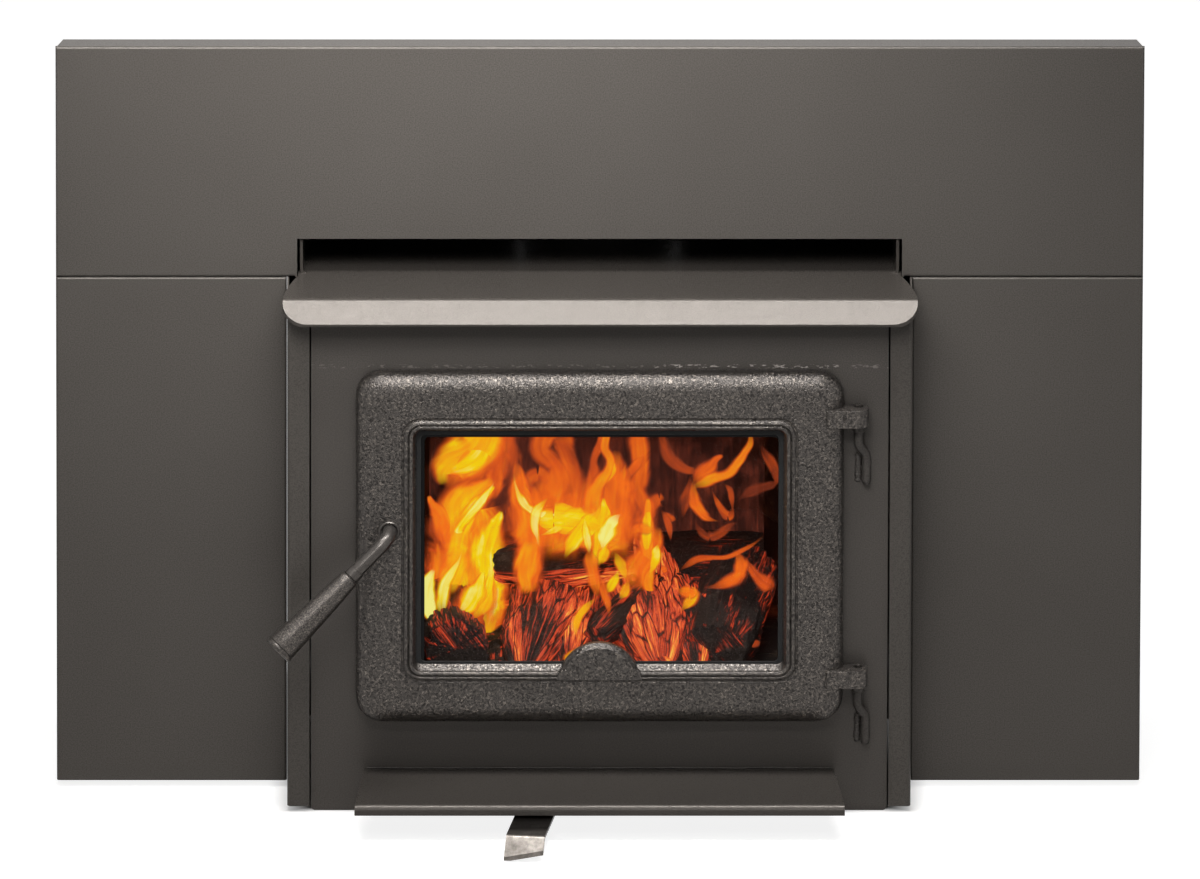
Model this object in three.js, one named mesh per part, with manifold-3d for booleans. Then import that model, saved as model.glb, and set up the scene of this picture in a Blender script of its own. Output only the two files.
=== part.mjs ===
// A wood fireplace insert: a folded steel surround, a convection casing, a brick-lined firebox
// with a cast door on lift-off hinge pins, and an air lever under the ash lip.
// Millimetres. X to the right, Y to the back, Z up. The origin lies on the hearth, under the
// middle of the surround's front face. "Front" values count forward from that face, along -Y.

import * as THREE from 'three';
import { mergeVertices } from 'three/addons/utils/BufferGeometryUtils.js';
import Module from 'manifold-3d';

const wasm = await Module();
wasm.setup();

// Fits
const seat = 0.3;
const turning = 0.3;
const weldLine = 0.3;

// Surround
const surroundWidth = 1118;
const surroundTop = 798;
const surroundBottom = 7;
const surroundSheet = 2;
const surroundBend = 3;
const surroundReturn = 27;
const returnTaper = 6;
const returnDrop = 12;
const seamFlange = 18;
const jambFlange = 20;
const notchHeight = 41;
const notchFlange = 20;
const notchRelief = 5;

// Hood
const shelfHeight = 551;
const hoodSheet = 3;
const hoodBend = 4;
const hoodReach = 85;
const hoodBack = 118;
const hoodWidth = 652;
const neckWidth = 620;
const neckClearance = 1;
const lipLength = 32;
const lipAngle = 41;
const lipCorner = 26;
const cheekHeight = 36;
const cheekInset = 2;
const shelfTail = 12;
const shelfFlare = 5;

// Casing
const casingWidth = 642.4;
const casingSheet = 2;
const casingBend = 3;
const casingFront = 84;
const casingBottom = 6;
const casingTop = 604;
const casingBack = 385;
const casingBackWidth = 480;
const jambWidth = 23;
const backFlange = 25;
const panelFlange = 25;
const collarGap = 4;

// Firebox
const faceWidth = 593.2;
const facePlate = 6;
const faceFront = 78;
const faceCorner = 4.5;
const fireboxWidth = 524;
const fireboxBackWidth = 390;
const fireboxTaper = 163;
const fireboxBack = 335;
const fireboxPlate = 5;
const plateBend = 6;
const floorHeight = 85;
const panSheet = 2.5;
const airSlotWidth = 120;
const airSlotDepth = 12;
const airSlotSetback = 8;

// Flue collar
const flueBore = 152;
const flueWall = 3;
const flueFlange = 92;
const flueFlangePlate = 4;
const flueBack = 225;
const flueHeight = 650;

// Bricks, baffle and air tubes
const brickThickness = 32;
const brickCourse = 114;
const brickJoint = 0.5;
const brickSetback = 5;
const tubeDiameter = 25;
const tubeWall = 1.5;
const tubeHeight = 410;
const tubeToTaper = 8;
const tubePitch = 65;
const tubeCount = 3;
const boardThickness = 25;
const boardOverhang = 10;
const boardGap = 1;

// Door
const doorWidth = 501;
const doorBottom = 100;
const doorHeight = 378;
const doorCorner = 28;
const doorFront = 105;
const doorBack = 82;
const backChamfer = 3;
const pillow = 13;
const openingInset = 24.5;
const openingCorner = 12;
const beadInset = 48.9;
const beadWidth = 10.2;
const beadHeight = 3.4;
const beadGroove = 1.8;
const beadCove = 0.9;
const coveWidth = 2.6;
const beadCorner = 18;
const windowCorner = 9;
const windowChamfer = 3;
const glassSeat = 97;
const glassLedge = 89;
const glassInset = 46;
const ledgeInset = 32;
const bossRadius = 38;
const bossRise = 26;
const bossFillet = 7;
const bossFoot = 0.6;
const bossShoulder = 0.4;

// Gaskets, glass and its retainers
const ropeInset = 18;
const ropeDiameter = 10.4;
const ropeChannel = 11;
const ropeDepth = 7;
const ropeCorner = 14;
const tapeThickness = 2;
const tapeWidth = 20.5;
const glassThickness = 5;
const retainerWidth = 14;
const retainerPlate = 3;
const retainerReach = 6;
const retainerLap = 3;

// Hinges
const hingeOffset = 15.5;
const hingeStandoff = 90;
const pinDiameter = 9.5;
const pinInLug = 14;
const pinJoggle = 8;
const pinNeck = 24;
const pinJoggleLength = 12;
const pinLength = 67;
const pinCollar = 13;
const pinCollarHeight = 8.5;
const lugHeight = 18.4;
const lugLength = 43;
const lugFront = 109;
const lugCorner = 11;
const lugRound = 9;
const lugRoot = 14;
const lugEdge = 2;
const lugBite = 4;
const upperLug = 421.6;
const lowerLug = 141;

// Handle and latch
const handleInset = 34.5;
const handleHeight = 310;
const rodDiameter = 15;
const rodElbow = 126.5;
const elbowRadius = 17;
const gripFrom = [-33.3, 11, -32];
const gripLength = 107;
const gripStart = 20.5;
const gripEnd = 33.5;
const gripRing = 4;
const gripStep = 1.2;
const gripEdge = 1.5;
const gripSocket = 12;
const ferruleLength = 10;
const ferruleDiameter = 17;
const washerDiameter = 21.6;
const washerThickness = 3;
const camRadius = 9.3;
const camThickness = 6;
const tailDiameter = 10;
const nutAcross = 16;
const nutHeight = 8;
const rodThread = 4;

// Ash lip
const lipPlateHeight = 46.4;
const lipPlate = 3;
const lipBend = 3.5;
const lipDepth = 100;
const lipFall = 9;
const lipFlange = 9;
const lipLean = 1.5;
const lipRear = 12;
const lipBackWidth = 484;
const lipFrontWidth = 505;

// Air lever and its channel
const leverWidth = 40;
const leverSheet = 3.5;
const leverYaw = -8.1;
const leverPivotX = -40;
const leverPivotY = 20;
const leverHeight = 24.2;
const leverFold = 235;
const leverTab = 28;
const leverTabShort = 18;
const leverBend = 4;
const shutterRadius = 30;
const shutterOffset = 55;
const portRadius = 22;
const pivotDiameter = 10;
const pivotHead = 18;
const pivotHeadHeight = 6;
const channelWidth = 160;
const channelSheet = 2;
const channelLength = 200;
const channelFlange = 20;
const slotWidth = 94;
const slotHeight = 12;
const slotCentre = -51;

// Finishes
const paint = { color: 0x59544f, roughness: 0.55, metalness: 0.5 };
const darkPaint = { color: 0x3f3c3a, roughness: 0.7, metalness: 0.4 };
const casting = { color: 0x46423f, roughness: 0.75, metalness: 0.4 };
const bareSteel = { color: 0x6b6763, roughness: 0.45, metalness: 0.8 };
const brick = { color: 0x9c8468, roughness: 0.95, metalness: 0 };
const board = { color: 0xb9ab8d, roughness: 0.95, metalness: 0 };
const rope = { color: 0x2b2b2b, roughness: 0.95, metalness: 0 };
const clearGlass = { color: 0x222222, roughness: 0.05, metalness: 0, transparent: true, opacity: 0.35 };

// Sizes that follow
const shelfTop = shelfHeight + hoodSheet;
const restHeight = shelfHeight - seat;
const notchHalf = neckWidth / 2 + neckClearance;
const notchTop = shelfHeight + notchHeight;
const casingHalf = casingWidth / 2;
const fireboxHalf = fireboxWidth / 2;
const wallTop = restHeight - fireboxPlate;
const floorTop = floorHeight + fireboxPlate;
const faceBack = faceFront - facePlate;
const drawIn = Math.atan((fireboxWidth - fireboxBackWidth) / 2 / (fireboxBack - fireboxTaper));
const backFace = fireboxBack + (fireboxPlate / 2) * Math.sin(drawIn) + weldLine;
const doorMiddle = doorBottom + doorHeight / 2;
const windowInset = beadInset + beadWidth;
const windowBottom = doorBottom + windowInset;
const hingeX = doorWidth / 2 + hingeOffset;
const handleX = -doorWidth / 2 + handleInset;
const channelHeight = leverHeight + seat;

const insert = new THREE.Group();

function add(name, geometry, finish, place = insert) {
  const mesh = new THREE.Mesh(geometry, new THREE.MeshStandardMaterial(finish));
  mesh.name = name;
  place.add(mesh);
  return mesh;
}

// Cutting and joining of closed solids
function solid(geometry) {
  const bare = geometry.clone();
  bare.deleteAttribute('normal');
  bare.deleteAttribute('uv');
  const merged = mergeVertices(bare, 1e-5);
  const vertProperties = new Float32Array(merged.attributes.position.array);
  const triVerts = new Uint32Array(merged.index.array);
  return new wasm.Manifold(new wasm.Mesh({ numProp: 3, vertProperties, triVerts }));
}

function geometryOf(body) {
  const mesh = body.getMesh();
  const geometry = new THREE.BufferGeometry();
  geometry.setAttribute('position', new THREE.BufferAttribute(new Float32Array(mesh.vertProperties), 3));
  geometry.setIndex(new THREE.BufferAttribute(new Uint32Array(mesh.triVerts), 1));
  geometry.computeVertexNormals();
  return geometry;
}

function joined(first, ...others) {
  return geometryOf(others.reduce((sum, item) => sum.add(solid(item)), solid(first)));
}

function cut(first, ...tools) {
  return geometryOf(tools.reduce((rest, item) => rest.subtract(solid(item)), solid(first)));
}

function common(first, ...others) {
  return geometryOf(others.reduce((rest, item) => rest.intersect(solid(item)), solid(first)));
}

// Outlines drawn as [across, up] and pushed along one axis
function shapeOf(points) {
  return new THREE.Shape(points.map(([u, v]) => new THREE.Vector2(u, v)));
}

function pushed(shape, length, basis, start, segments = 8) {
  const options = { depth: length, bevelEnabled: false, curveSegments: segments };
  const geometry = new THREE.ExtrudeGeometry(shape, options);
  geometry.applyMatrix4(new THREE.Matrix4().makeBasis(...basis));
  geometry.translate(start.x, start.y, start.z);
  return geometry;
}

const axisX = new THREE.Vector3(1, 0, 0);
const axisY = new THREE.Vector3(0, 1, 0);
const axisZ = new THREE.Vector3(0, 0, 1);

function upward(shape, from, to, segments) {
  return pushed(shape, to - from, [axisX, axisY, axisZ], new THREE.Vector3(0, 0, from), segments);
}

function sideways(shape, from, to, segments) {
  return pushed(shape, to - from, [axisY, axisZ, axisX], new THREE.Vector3(from, 0, 0), segments);
}

function forward(shape, from, to, segments) {
  const basis = [axisX, axisZ, axisY.clone().negate()];
  return pushed(shape, to - from, basis, new THREE.Vector3(0, -from, 0), segments);
}

function block(x0, x1, y0, y1, z0, z1) {
  const geometry = new THREE.BoxGeometry(x1 - x0, y1 - y0, z1 - z0);
  geometry.translate((x0 + x1) / 2, (y0 + y1) / 2, (z0 + z1) / 2);
  return geometry;
}

function post(x, y, radius, z0, z1, sides = 32) {
  const geometry = new THREE.CylinderGeometry(radius, radius, z1 - z0, sides);
  geometry.rotateX(Math.PI / 2);
  geometry.translate(x, y, (z0 + z1) / 2);
  return geometry;
}

function stud(x, z, radius, front0, front1, sides = 32) {
  const geometry = new THREE.CylinderGeometry(radius, radius, front1 - front0, sides);
  geometry.translate(x, -(front0 + front1) / 2, z);
  return geometry;
}

function roundedRect(x0, x1, z0, z1, radius) {
  const shape = new THREE.Shape();
  shape.moveTo(x0 + radius, z0);
  shape.lineTo(x1 - radius, z0);
  shape.absarc(x1 - radius, z0 + radius, radius, -Math.PI / 2, 0);
  shape.lineTo(x1, z1 - radius);
  shape.absarc(x1 - radius, z1 - radius, radius, 0, Math.PI / 2);
  shape.lineTo(x0 + radius, z1);
  shape.absarc(x0 + radius, z1 - radius, radius, Math.PI / 2, Math.PI);
  shape.lineTo(x0, z0 + radius);
  shape.absarc(x0 + radius, z0 + radius, radius, Math.PI, Math.PI * 1.5);
  return shape;
}

// The edge view of a sheet bent along a line of corners. The line is the sheet's middle.
function foldedSheet(corners, sheet, insideBend, steps = 4) {
  const line = corners.map(([u, v]) => new THREE.Vector2(u, v));
  const radius = insideBend + sheet / 2;
  const middle = [];
  for (let i = 0; i < line.length; i += 1) {
    if (i === 0 || i === line.length - 1) {
      middle.push(line[i]);
      continue;
    }
    const into = line[i].clone().sub(line[i - 1]).normalize();
    const out = line[i + 1].clone().sub(line[i]).normalize();
    const turn = Math.atan2(into.cross(out), into.dot(out));
    const trim = radius * Math.tan(Math.abs(turn) / 2);
    const start = line[i].clone().addScaledVector(into, -trim);
    const side = Math.sign(turn);
    const centre = start.clone().add(new THREE.Vector2(-into.y, into.x).multiplyScalar(radius * side));
    for (let k = 0; k <= steps; k += 1) {
      const arm = start.clone().sub(centre);
      middle.push(arm.rotateAround(new THREE.Vector2(), (turn * k) / steps).add(centre));
    }
  }
  const left = [];
  const right = [];
  for (let i = 0; i < middle.length; i += 1) {
    const before = middle[Math.max(i - 1, 0)];
    const after = middle[Math.min(i + 1, middle.length - 1)];
    const along = after.clone().sub(before).normalize();
    const normal = new THREE.Vector2(-along.y, along.x).multiplyScalar(sheet / 2);
    left.push(middle[i].clone().add(normal));
    right.push(middle[i].clone().sub(normal));
  }
  return new THREE.Shape([...right, ...left.reverse()]);
}

// Rings of the same count joined one to the next, and the last to the first
function ringLoft(rings) {
  const count = rings[0].length;
  const positions = rings.flat().flatMap((point) => [point.x, point.y, point.z]);
  const index = [];
  rings.forEach((ring, r) => {
    const here = r * count;
    const next = ((r + 1) % rings.length) * count;
    for (let i = 0; i < count; i += 1) {
      const j = (i + 1) % count;
      index.push(here + i, here + j, next + j);
      index.push(here + i, next + j, next + i);
    }
  });
  const geometry = new THREE.BufferGeometry();
  geometry.setAttribute('position', new THREE.Float32BufferAttribute(positions, 3));
  geometry.setIndex(index);
  geometry.computeVertexNormals();
  return geometry;
}

// A ring round the door's middle, at an inset from the door's edge
function doorRing(inset, front, corner, steps = 6) {
  const halfWidth = doorWidth / 2 - inset;
  const halfHeight = doorHeight / 2 - inset;
  const radius = Math.min(corner, halfWidth, halfHeight);
  const ring = [];
  const corners = [[1, 1], [-1, 1], [-1, -1], [1, -1]];
  corners.forEach(([signX, signZ], turn) => {
    for (let k = 0; k <= steps; k += 1) {
      const angle = (Math.PI / 2) * (turn + k / steps);
      const x = signX * (halfWidth - radius) + radius * Math.cos(angle);
      const z = signZ * (halfHeight - radius) + radius * Math.sin(angle);
      ring.push(new THREE.Vector3(x, -front, doorMiddle + z));
    }
  });
  return ring;
}

// Plan of a body with straight sides that draw in toward the back
function taperedPlan(half, backHalf, front, taper, back) {
  return [[-half, -front], [half, -front], [half, taper], [backHalf, back], [-backHalf, back], [-half, taper]];
}

// The same plan with every side moved in by one distance
function insetPlan(points, distance) {
  const moved = points.map((point, i) => {
    const before = points[(i + points.length - 1) % points.length];
    const after = points[(i + 1) % points.length];
    const into = new THREE.Vector2(point[0] - before[0], point[1] - before[1]).normalize();
    const out = new THREE.Vector2(after[0] - point[0], after[1] - point[1]).normalize();
    const normalIn = new THREE.Vector2(-into.y, into.x);
    const normalOut = new THREE.Vector2(-out.y, out.x);
    const sum = normalIn.clone().add(normalOut);
    const reach = distance / (1 + normalIn.dot(normalOut));
    return [point[0] + sum.x * reach, point[1] + sum.y * reach];
  });
  return moved;
}

// Surround panels: a flat front with its edges turned back
function turnedPanel(x0, x1, z0, z1, depth, bottomTurned) {
  const shell = (inset, front, back, bend) => {
    const plan = new THREE.Shape();
    plan.moveTo(x0 + inset, back);
    plan.lineTo(x0 + inset, front + bend);
    plan.absarc(x0 + inset + bend, front + bend, bend, Math.PI, Math.PI * 1.5);
    plan.absarc(x1 - inset - bend, front + bend, bend, Math.PI * 1.5, Math.PI * 2);
    plan.lineTo(x1 - inset, back);
    const low = bottomTurned ? z0 + inset : z0 - inset;
    const edge = new THREE.Shape();
    edge.moveTo(back, low);
    if (bottomTurned) {
      edge.lineTo(back, z1 - inset);
      edge.lineTo(front + bend, z1 - inset);
      edge.absarc(front + bend, z1 - inset - bend, bend, Math.PI / 2, Math.PI);
      edge.absarc(front + bend, low + bend, bend, Math.PI, Math.PI * 1.5);
    } else {
      edge.lineTo(back, z1 - inset);
      edge.lineTo(front + bend, z1 - inset);
      edge.absarc(front + bend, z1 - inset - bend, bend, Math.PI / 2, Math.PI);
      edge.lineTo(front, low);
    }
    const upright = upward(plan, z0 - 10, z1 + 10, 4);
    return common(upright, sideways(edge, x0 - 10, x1 + 10, 4));
  };
  const outside = shell(0, 0, depth, surroundBend);
  const inside = shell(surroundSheet, surroundSheet, depth + 10, surroundBend - surroundSheet);
  return cut(outside, inside);
}

function surroundPanels() {
  const half = surroundWidth / 2;
  const inner = casingHalf + seat;
  const sheet = surroundSheet;
  const sideTop = restHeight;

  const topPanel = turnedPanel(-half, half, shelfHeight, surroundTop, surroundReturn, true);
  const collarHalf = notchHalf + sheet;
  const collar = cut(
    block(-collarHalf, collarHalf, 0, notchFlange, shelfHeight, notchTop + sheet),
    block(-notchHalf, notchHalf, -1, notchFlange + 1, shelfHeight - 1, notchTop),
  );
  const corners = [-1, 1].map((side) => {
    const x = side * notchHalf;
    const low = notchTop - notchRelief;
    return block(x - notchRelief, x + notchRelief, sheet, notchFlange + 1, low, notchTop + notchRelief);
  });
  const mitres = [-1, 1].map((side) => {
    const inside = half - sheet;
    const plan = [
      [side * (half + 1), surroundBend + 1],
      [side * inside, surroundBend + 1],
      [side * (inside - returnTaper), surroundReturn + 1],
      [side * (half + 1), surroundReturn + 1],
    ];
    return upward(shapeOf(side > 0 ? plan.reverse() : plan), surroundTop - sheet - 0.1, surroundTop + 1);
  });
  const drops = [-1, 1].map((side) => {
    const wedge = shapeOf([
      [surroundBend + 1, surroundTop - surroundBend], [surroundReturn + 1, surroundTop - returnDrop],
      [surroundReturn + 1, surroundTop + 1], [surroundBend + 1, surroundTop + 1],
    ]);
    const outer = side * (half + 1);
    const inside = side * (half - sheet - 0.1);
    return sideways(wedge, Math.min(outer, inside), Math.max(outer, inside));
  });
  const opened = cut(
    topPanel,
    block(-notchHalf, notchHalf, -1, surroundReturn + 1, shelfHeight - 1, notchTop),
    block(-half + sheet, half - sheet, seamFlange, surroundReturn + 1, shelfHeight - 1, shelfHeight + sheet),
    ...mitres,
    ...drops,
  );
  const withCollar = cut(joined(opened, collar), ...corners);
  add('surround_top_panel', withCollar, paint);

  for (const side of [-1, 1]) {
    const x0 = side < 0 ? -half : inner;
    const x1 = side < 0 ? -inner : half;
    const flat = turnedPanel(x0, x1, surroundBottom, sideTop, surroundReturn, false);
    const nearCasing = side < 0 ? x1 - sheet - 1 : x0 - 1;
    const panel = cut(
      flat,
      block(nearCasing, nearCasing + sheet + 2, jambFlange, surroundReturn + 1, 0, sideTop + 1),
      block(x0 + sheet, x1 - sheet, seamFlange, surroundReturn + 1, sideTop - sheet - 0.1, sideTop + 1),
    );
    add(side < 0 ? 'surround_left_panel' : 'surround_right_panel', panel, paint);
  }
}

function hood() {
  const middle = shelfHeight + hoodSheet / 2;
  const drop = THREE.MathUtils.degToRad(lipAngle);
  const lipFrontY = hoodReach + lipLength * Math.cos(drop);
  const edge = foldedSheet(
    [[shelfTail, middle], [-hoodReach, middle], [-lipFrontY, middle - lipLength * Math.sin(drop)]],
    hoodSheet,
    hoodBend,
  );
  const half = hoodWidth / 2;
  const neck = neckWidth / 2;
  const cornerDepth = lipCorner * Math.cos(drop);
  const outline = new THREE.Shape();
  outline.moveTo(neck, shelfTail);
  outline.lineTo(neck, -shelfFlare);
  outline.quadraticCurveTo(half - 2, -hoodReach * 0.6, half, -(lipFrontY - cornerDepth));
  outline.absellipse(
    half - lipCorner, -(lipFrontY - cornerDepth), lipCorner, cornerDepth, 0, -Math.PI / 2, true,
  );
  outline.lineTo(-half + lipCorner, -lipFrontY);
  outline.absellipse(
    -half + lipCorner, -(lipFrontY - cornerDepth), lipCorner, cornerDepth, -Math.PI / 2, -Math.PI, true,
  );
  outline.quadraticCurveTo(-half + 2, -hoodReach * 0.6, -neck, -shelfFlare);
  outline.lineTo(-neck, shelfTail);
  const top = sideways(edge, -half - 5, half + 5);
  const front = common(top, upward(outline, shelfHeight - 2 * lipLength, shelfTop + hoodSheet, 6));
  const cheek = neck - cheekInset - hoodSheet / 2;
  const channel = foldedSheet(
    [[-cheek, shelfTop + cheekHeight], [-cheek, middle], [cheek, middle], [cheek, shelfTop + cheekHeight]],
    hoodSheet,
    hoodBend,
  );
  const behind = forward(channel, -hoodBack, -surroundSheet - 2);
  add('hood', joined(front, behind), paint);
}

// Casing sides: the jamb strip, the side, the drawn-in rear and a flange for the back
function casing() {
  const middle = casingSheet / 2;
  const backHalf = casingBackWidth / 2;
  for (const side of [-1, 1]) {
    const line = [
      [side * (casingHalf - jambWidth), -casingFront + middle],
      [side * (casingHalf - middle), -casingFront + middle],
      [side * (casingHalf - middle), fireboxTaper],
      [side * (backHalf - middle), casingBack - middle],
      [side * (backHalf - backFlange), casingBack - middle],
    ];
    const tall = upward(foldedSheet(line, casingSheet, casingBend - casingSheet + 1), casingBottom, casingTop);
    const reach = surroundReturn + 1;
    const wide = casingHalf + 1;
    const overShelf = block(-wide, wide, -casingFront - 1, reach, restHeight, casingTop + 1);
    const sideSheet = cut(tall, overShelf);
    add(side < 0 ? 'casing_left' : 'casing_right', sideSheet, darkPaint);
  }
  const backSheet = block(
    -backHalf, backHalf, casingBack + seat, casingBack + seat + casingSheet, casingBottom, casingTop,
  );
  add('casing_back', backSheet, darkPaint);

  const rear = casingBack + seat + casingSheet;
  const plan = taperedPlan(casingHalf, backHalf, 0, fireboxTaper, rear);
  const front = surroundSheet + seat + casingSheet / 2;
  const level = casingTop + casingSheet / 2;
  const edge = foldedSheet(
    [[rear, level], [front, level], [front, level + panelFlange]],
    casingSheet,
    casingBend - casingSheet,
  );
  const lid = common(
    sideways(edge, -casingHalf, casingHalf),
    upward(shapeOf(plan), casingTop - 1, casingTop + panelFlange + 5),
  );
  const flueRadius = flueBore / 2 + flueWall + collarGap;
  add('casing_top', cut(lid, post(0, flueBack, flueRadius, casingTop - 5, casingTop + 10, 48)), darkPaint);
}

function facePlateSolid() {
  const half = faceWidth / 2;
  const outline = roundedRect(-half, half, 0, restHeight, faceCorner);
  const opening = roundedRect(
    -doorWidth / 2 + openingInset,
    doorWidth / 2 - openingInset,
    doorBottom + openingInset,
    doorBottom + doorHeight - openingInset,
    openingCorner,
  );
  const slotLow = leverHeight - leverSheet / 2 - slotHeight / 2;
  const slot = roundedRect(
    slotCentre - slotWidth / 2, slotCentre + slotWidth / 2, slotLow, slotLow + slotHeight, 3,
  );
  outline.holes.push(opening, slot);
  add('face_plate', forward(outline, faceBack, faceFront, 5), paint);
}

// Welded plates of the firebox, and the pan that closes it at the hearth
function firebox() {
  const half = fireboxHalf - fireboxPlate / 2;
  const backHalf = fireboxBackWidth / 2 - fireboxPlate / 2;
  const start = -faceBack + weldLine;
  for (const side of [-1, 1]) {
    const line = [[side * half, start], [side * half, fireboxTaper], [side * backHalf, fireboxBack]];
    const wall = upward(foldedSheet(line, fireboxPlate, plateBend), 0, wallTop);
    add(side < 0 ? 'firebox_left' : 'firebox_right', wall, darkPaint);
  }
  const wide = fireboxBackWidth / 2;
  add('firebox_back', block(-wide, wide, backFace, backFace + fireboxPlate, 0, wallTop), darkPaint);

  const topPlate = cut(
    upward(shapeOf(wallPlan(-fireboxPlate / 2)), wallTop, restHeight),
    post(0, flueBack, flueBore / 2, wallTop - 1, restHeight + 1, 48),
  );
  add('firebox_top', topPlate, darkPaint);

  const inside = insidePlan(weldLine);
  const pan = upward(shapeOf(inside), 0, panSheet);
  add('base_pan', pan, darkPaint);
  const slotHalf = airSlotWidth / 2;
  const slotFront = -faceBack + airSlotSetback;
  const slotBack = slotFront + airSlotDepth;
  const airSlot = block(
    leverPivotX - slotHalf, leverPivotX + slotHalf, slotFront, slotBack, floorHeight - 1, floorTop + 1,
  );
  add('firebox_floor', cut(upward(shapeOf(inside), floorHeight, floorTop), airSlot), darkPaint);
}

// Plan at a distance inside the middle of the walls, from the face plate to the back plate
function wallPlan(distance) {
  const half = fireboxHalf - fireboxPlate / 2;
  const backHalf = fireboxBackWidth / 2 - fireboxPlate / 2;
  const slope = (half - backHalf) / (fireboxBack - fireboxTaper);
  const back = backFace + fireboxPlate / 2;
  const plan = taperedPlan(half, backHalf - slope * (back - fireboxBack), faceBack, fireboxTaper, back);
  const moved = insetPlan(plan, distance);
  moved[0][1] = -faceBack + weldLine;
  moved[1][1] = -faceBack + weldLine;
  return moved;
}

function insidePlan(clearance) {
  return wallPlan(fireboxPlate / 2 + clearance);
}

function flueCollar() {
  const bore = flueBore / 2;
  const outer = bore + flueWall;
  const low = shelfHeight;
  const profile = [
    [bore, low], [flueFlange, low], [flueFlange, low + flueFlangePlate], [outer, low + flueFlangePlate],
    [outer, flueHeight], [bore, flueHeight], [bore, low],
  ];
  const ring = new THREE.LatheGeometry(profile.map(([r, z]) => new THREE.Vector2(r, z)), 48);
  ring.rotateX(Math.PI / 2);
  ring.scale(1, -1, 1);
  const body = flipped(ring);
  body.translate(0, flueBack, 0);
  add('flue_collar', body, darkPaint);
}

function flipped(geometry) {
  const merged = mergeVertices(geometry, 1e-5);
  const index = merged.index.array;
  for (let i = 0; i < index.length; i += 3) {
    [index[i], index[i + 1]] = [index[i + 1], index[i]];
  }
  merged.computeVertexNormals();
  return merged;
}

// Firebricks stand in two courses on the floor plate, inside the walls
function bricks() {
  const low = floorTop + seat;
  const outer = insidePlan(seat);
  const inner = insetPlan(outer, brickThickness);
  inner[0][1] -= brickThickness * 2;
  inner[1][1] -= brickThickness * 2;
  const frontY = -faceBack + brickSetback;
  const bedFront = -faceBack + airSlotSetback + airSlotDepth + brickSetback;
  const backY = inner[3][1];
  const lining = cut(
    upward(shapeOf(outer), low, low + brickCourse * 2 + brickJoint),
    upward(shapeOf(inner), low - 1, low + brickCourse * 2 + 2),
  );
  const wide = fireboxHalf;
  const courses = [
    [low, low + brickCourse, 'lower'],
    [low + brickCourse + brickJoint, low + brickCourse * 2 + brickJoint, 'upper'],
  ];
  for (const [z0, z1, level] of courses) {
    for (const [side, word] of [[-1, 'left'], [1, 'right']]) {
      const x0 = side < 0 ? -wide : brickJoint / 2;
      const x1 = side < 0 ? -brickJoint / 2 : wide;
      const split = fireboxTaper - brickJoint;
      const frontBrick = common(lining, block(x0, x1, frontY, split - brickJoint, z0, z1));
      const rearBrick = common(lining, block(x0, x1, split, backY - brickJoint, z0, z1));
      const backBrick = common(lining, block(x0, x1, backY, fireboxBack + 10, z0, z1));
      add(`brick_${word}_front_${level}`, frontBrick, brick);
      add(`brick_${word}_rear_${level}`, rearBrick, brick);
      add(`brick_back_${word}_${level}`, backBrick, brick);
    }
  }
  const bed = insetPlan(outer, brickThickness + brickJoint);
  const bedBack = bed[3][1];
  bed[0][1] = bedFront;
  bed[1][1] = bedFront;
  const row = (bedBack - bedFront) / 3;
  const field = upward(shapeOf(bed), low, low + brickThickness);
  for (let r = 0; r < 3; r += 1) {
    for (const [side, word] of [[-1, 'left'], [1, 'right']]) {
      const x0 = side < 0 ? -wide : brickJoint / 2;
      const x1 = side < 0 ? -brickJoint / 2 : wide;
      const y0 = bedFront + row * r;
      const piece = common(field, block(x0, x1, y0, y0 + row - brickJoint, low - 1, low + brickThickness + 1));
      add(`brick_floor_${word}_${r + 1}`, piece, brick);
    }
  }
}

// Secondary air tubes run from wall to wall, with the baffle boards on top
function baffle() {
  const radius = tubeDiameter / 2;
  const inside = fireboxHalf - fireboxPlate - seat;
  const first = fireboxTaper - tubeToTaper - radius - tubePitch * (tubeCount - 1);
  for (let i = 0; i < tubeCount; i += 1) {
    const ring = new THREE.Shape();
    ring.absarc(first + tubePitch * i, tubeHeight, radius, 0, Math.PI * 2);
    const bore = new THREE.Path();
    bore.absarc(first + tubePitch * i, tubeHeight, radius - tubeWall, 0, Math.PI * 2);
    ring.holes.push(bore);
    add(`air_tube_${i + 1}`, sideways(ring, -inside, inside, 10), bareSteel);
  }
  const low = tubeHeight + radius + seat;
  const boardFront = first - radius - boardOverhang;
  const sheet = upward(shapeOf(insidePlan(boardGap)), low, low + boardThickness);
  for (const [side, word] of [[-1, 'left'], [1, 'right']]) {
    const x0 = side < 0 ? -fireboxHalf : boardGap / 2;
    const x1 = side < 0 ? -boardGap / 2 : fireboxHalf;
    const half = common(sheet, block(x0, x1, boardFront, fireboxBack + 10, low - 1, low + boardThickness + 1));
    add(`baffle_board_${word}`, half, board);
  }
}

function channelPort() {
  const yaw = THREE.MathUtils.degToRad(leverYaw);
  return {
    x: leverPivotX - shutterOffset * Math.sin(yaw),
    y: leverPivotY + shutterOffset * Math.cos(yaw),
  };
}

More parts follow.
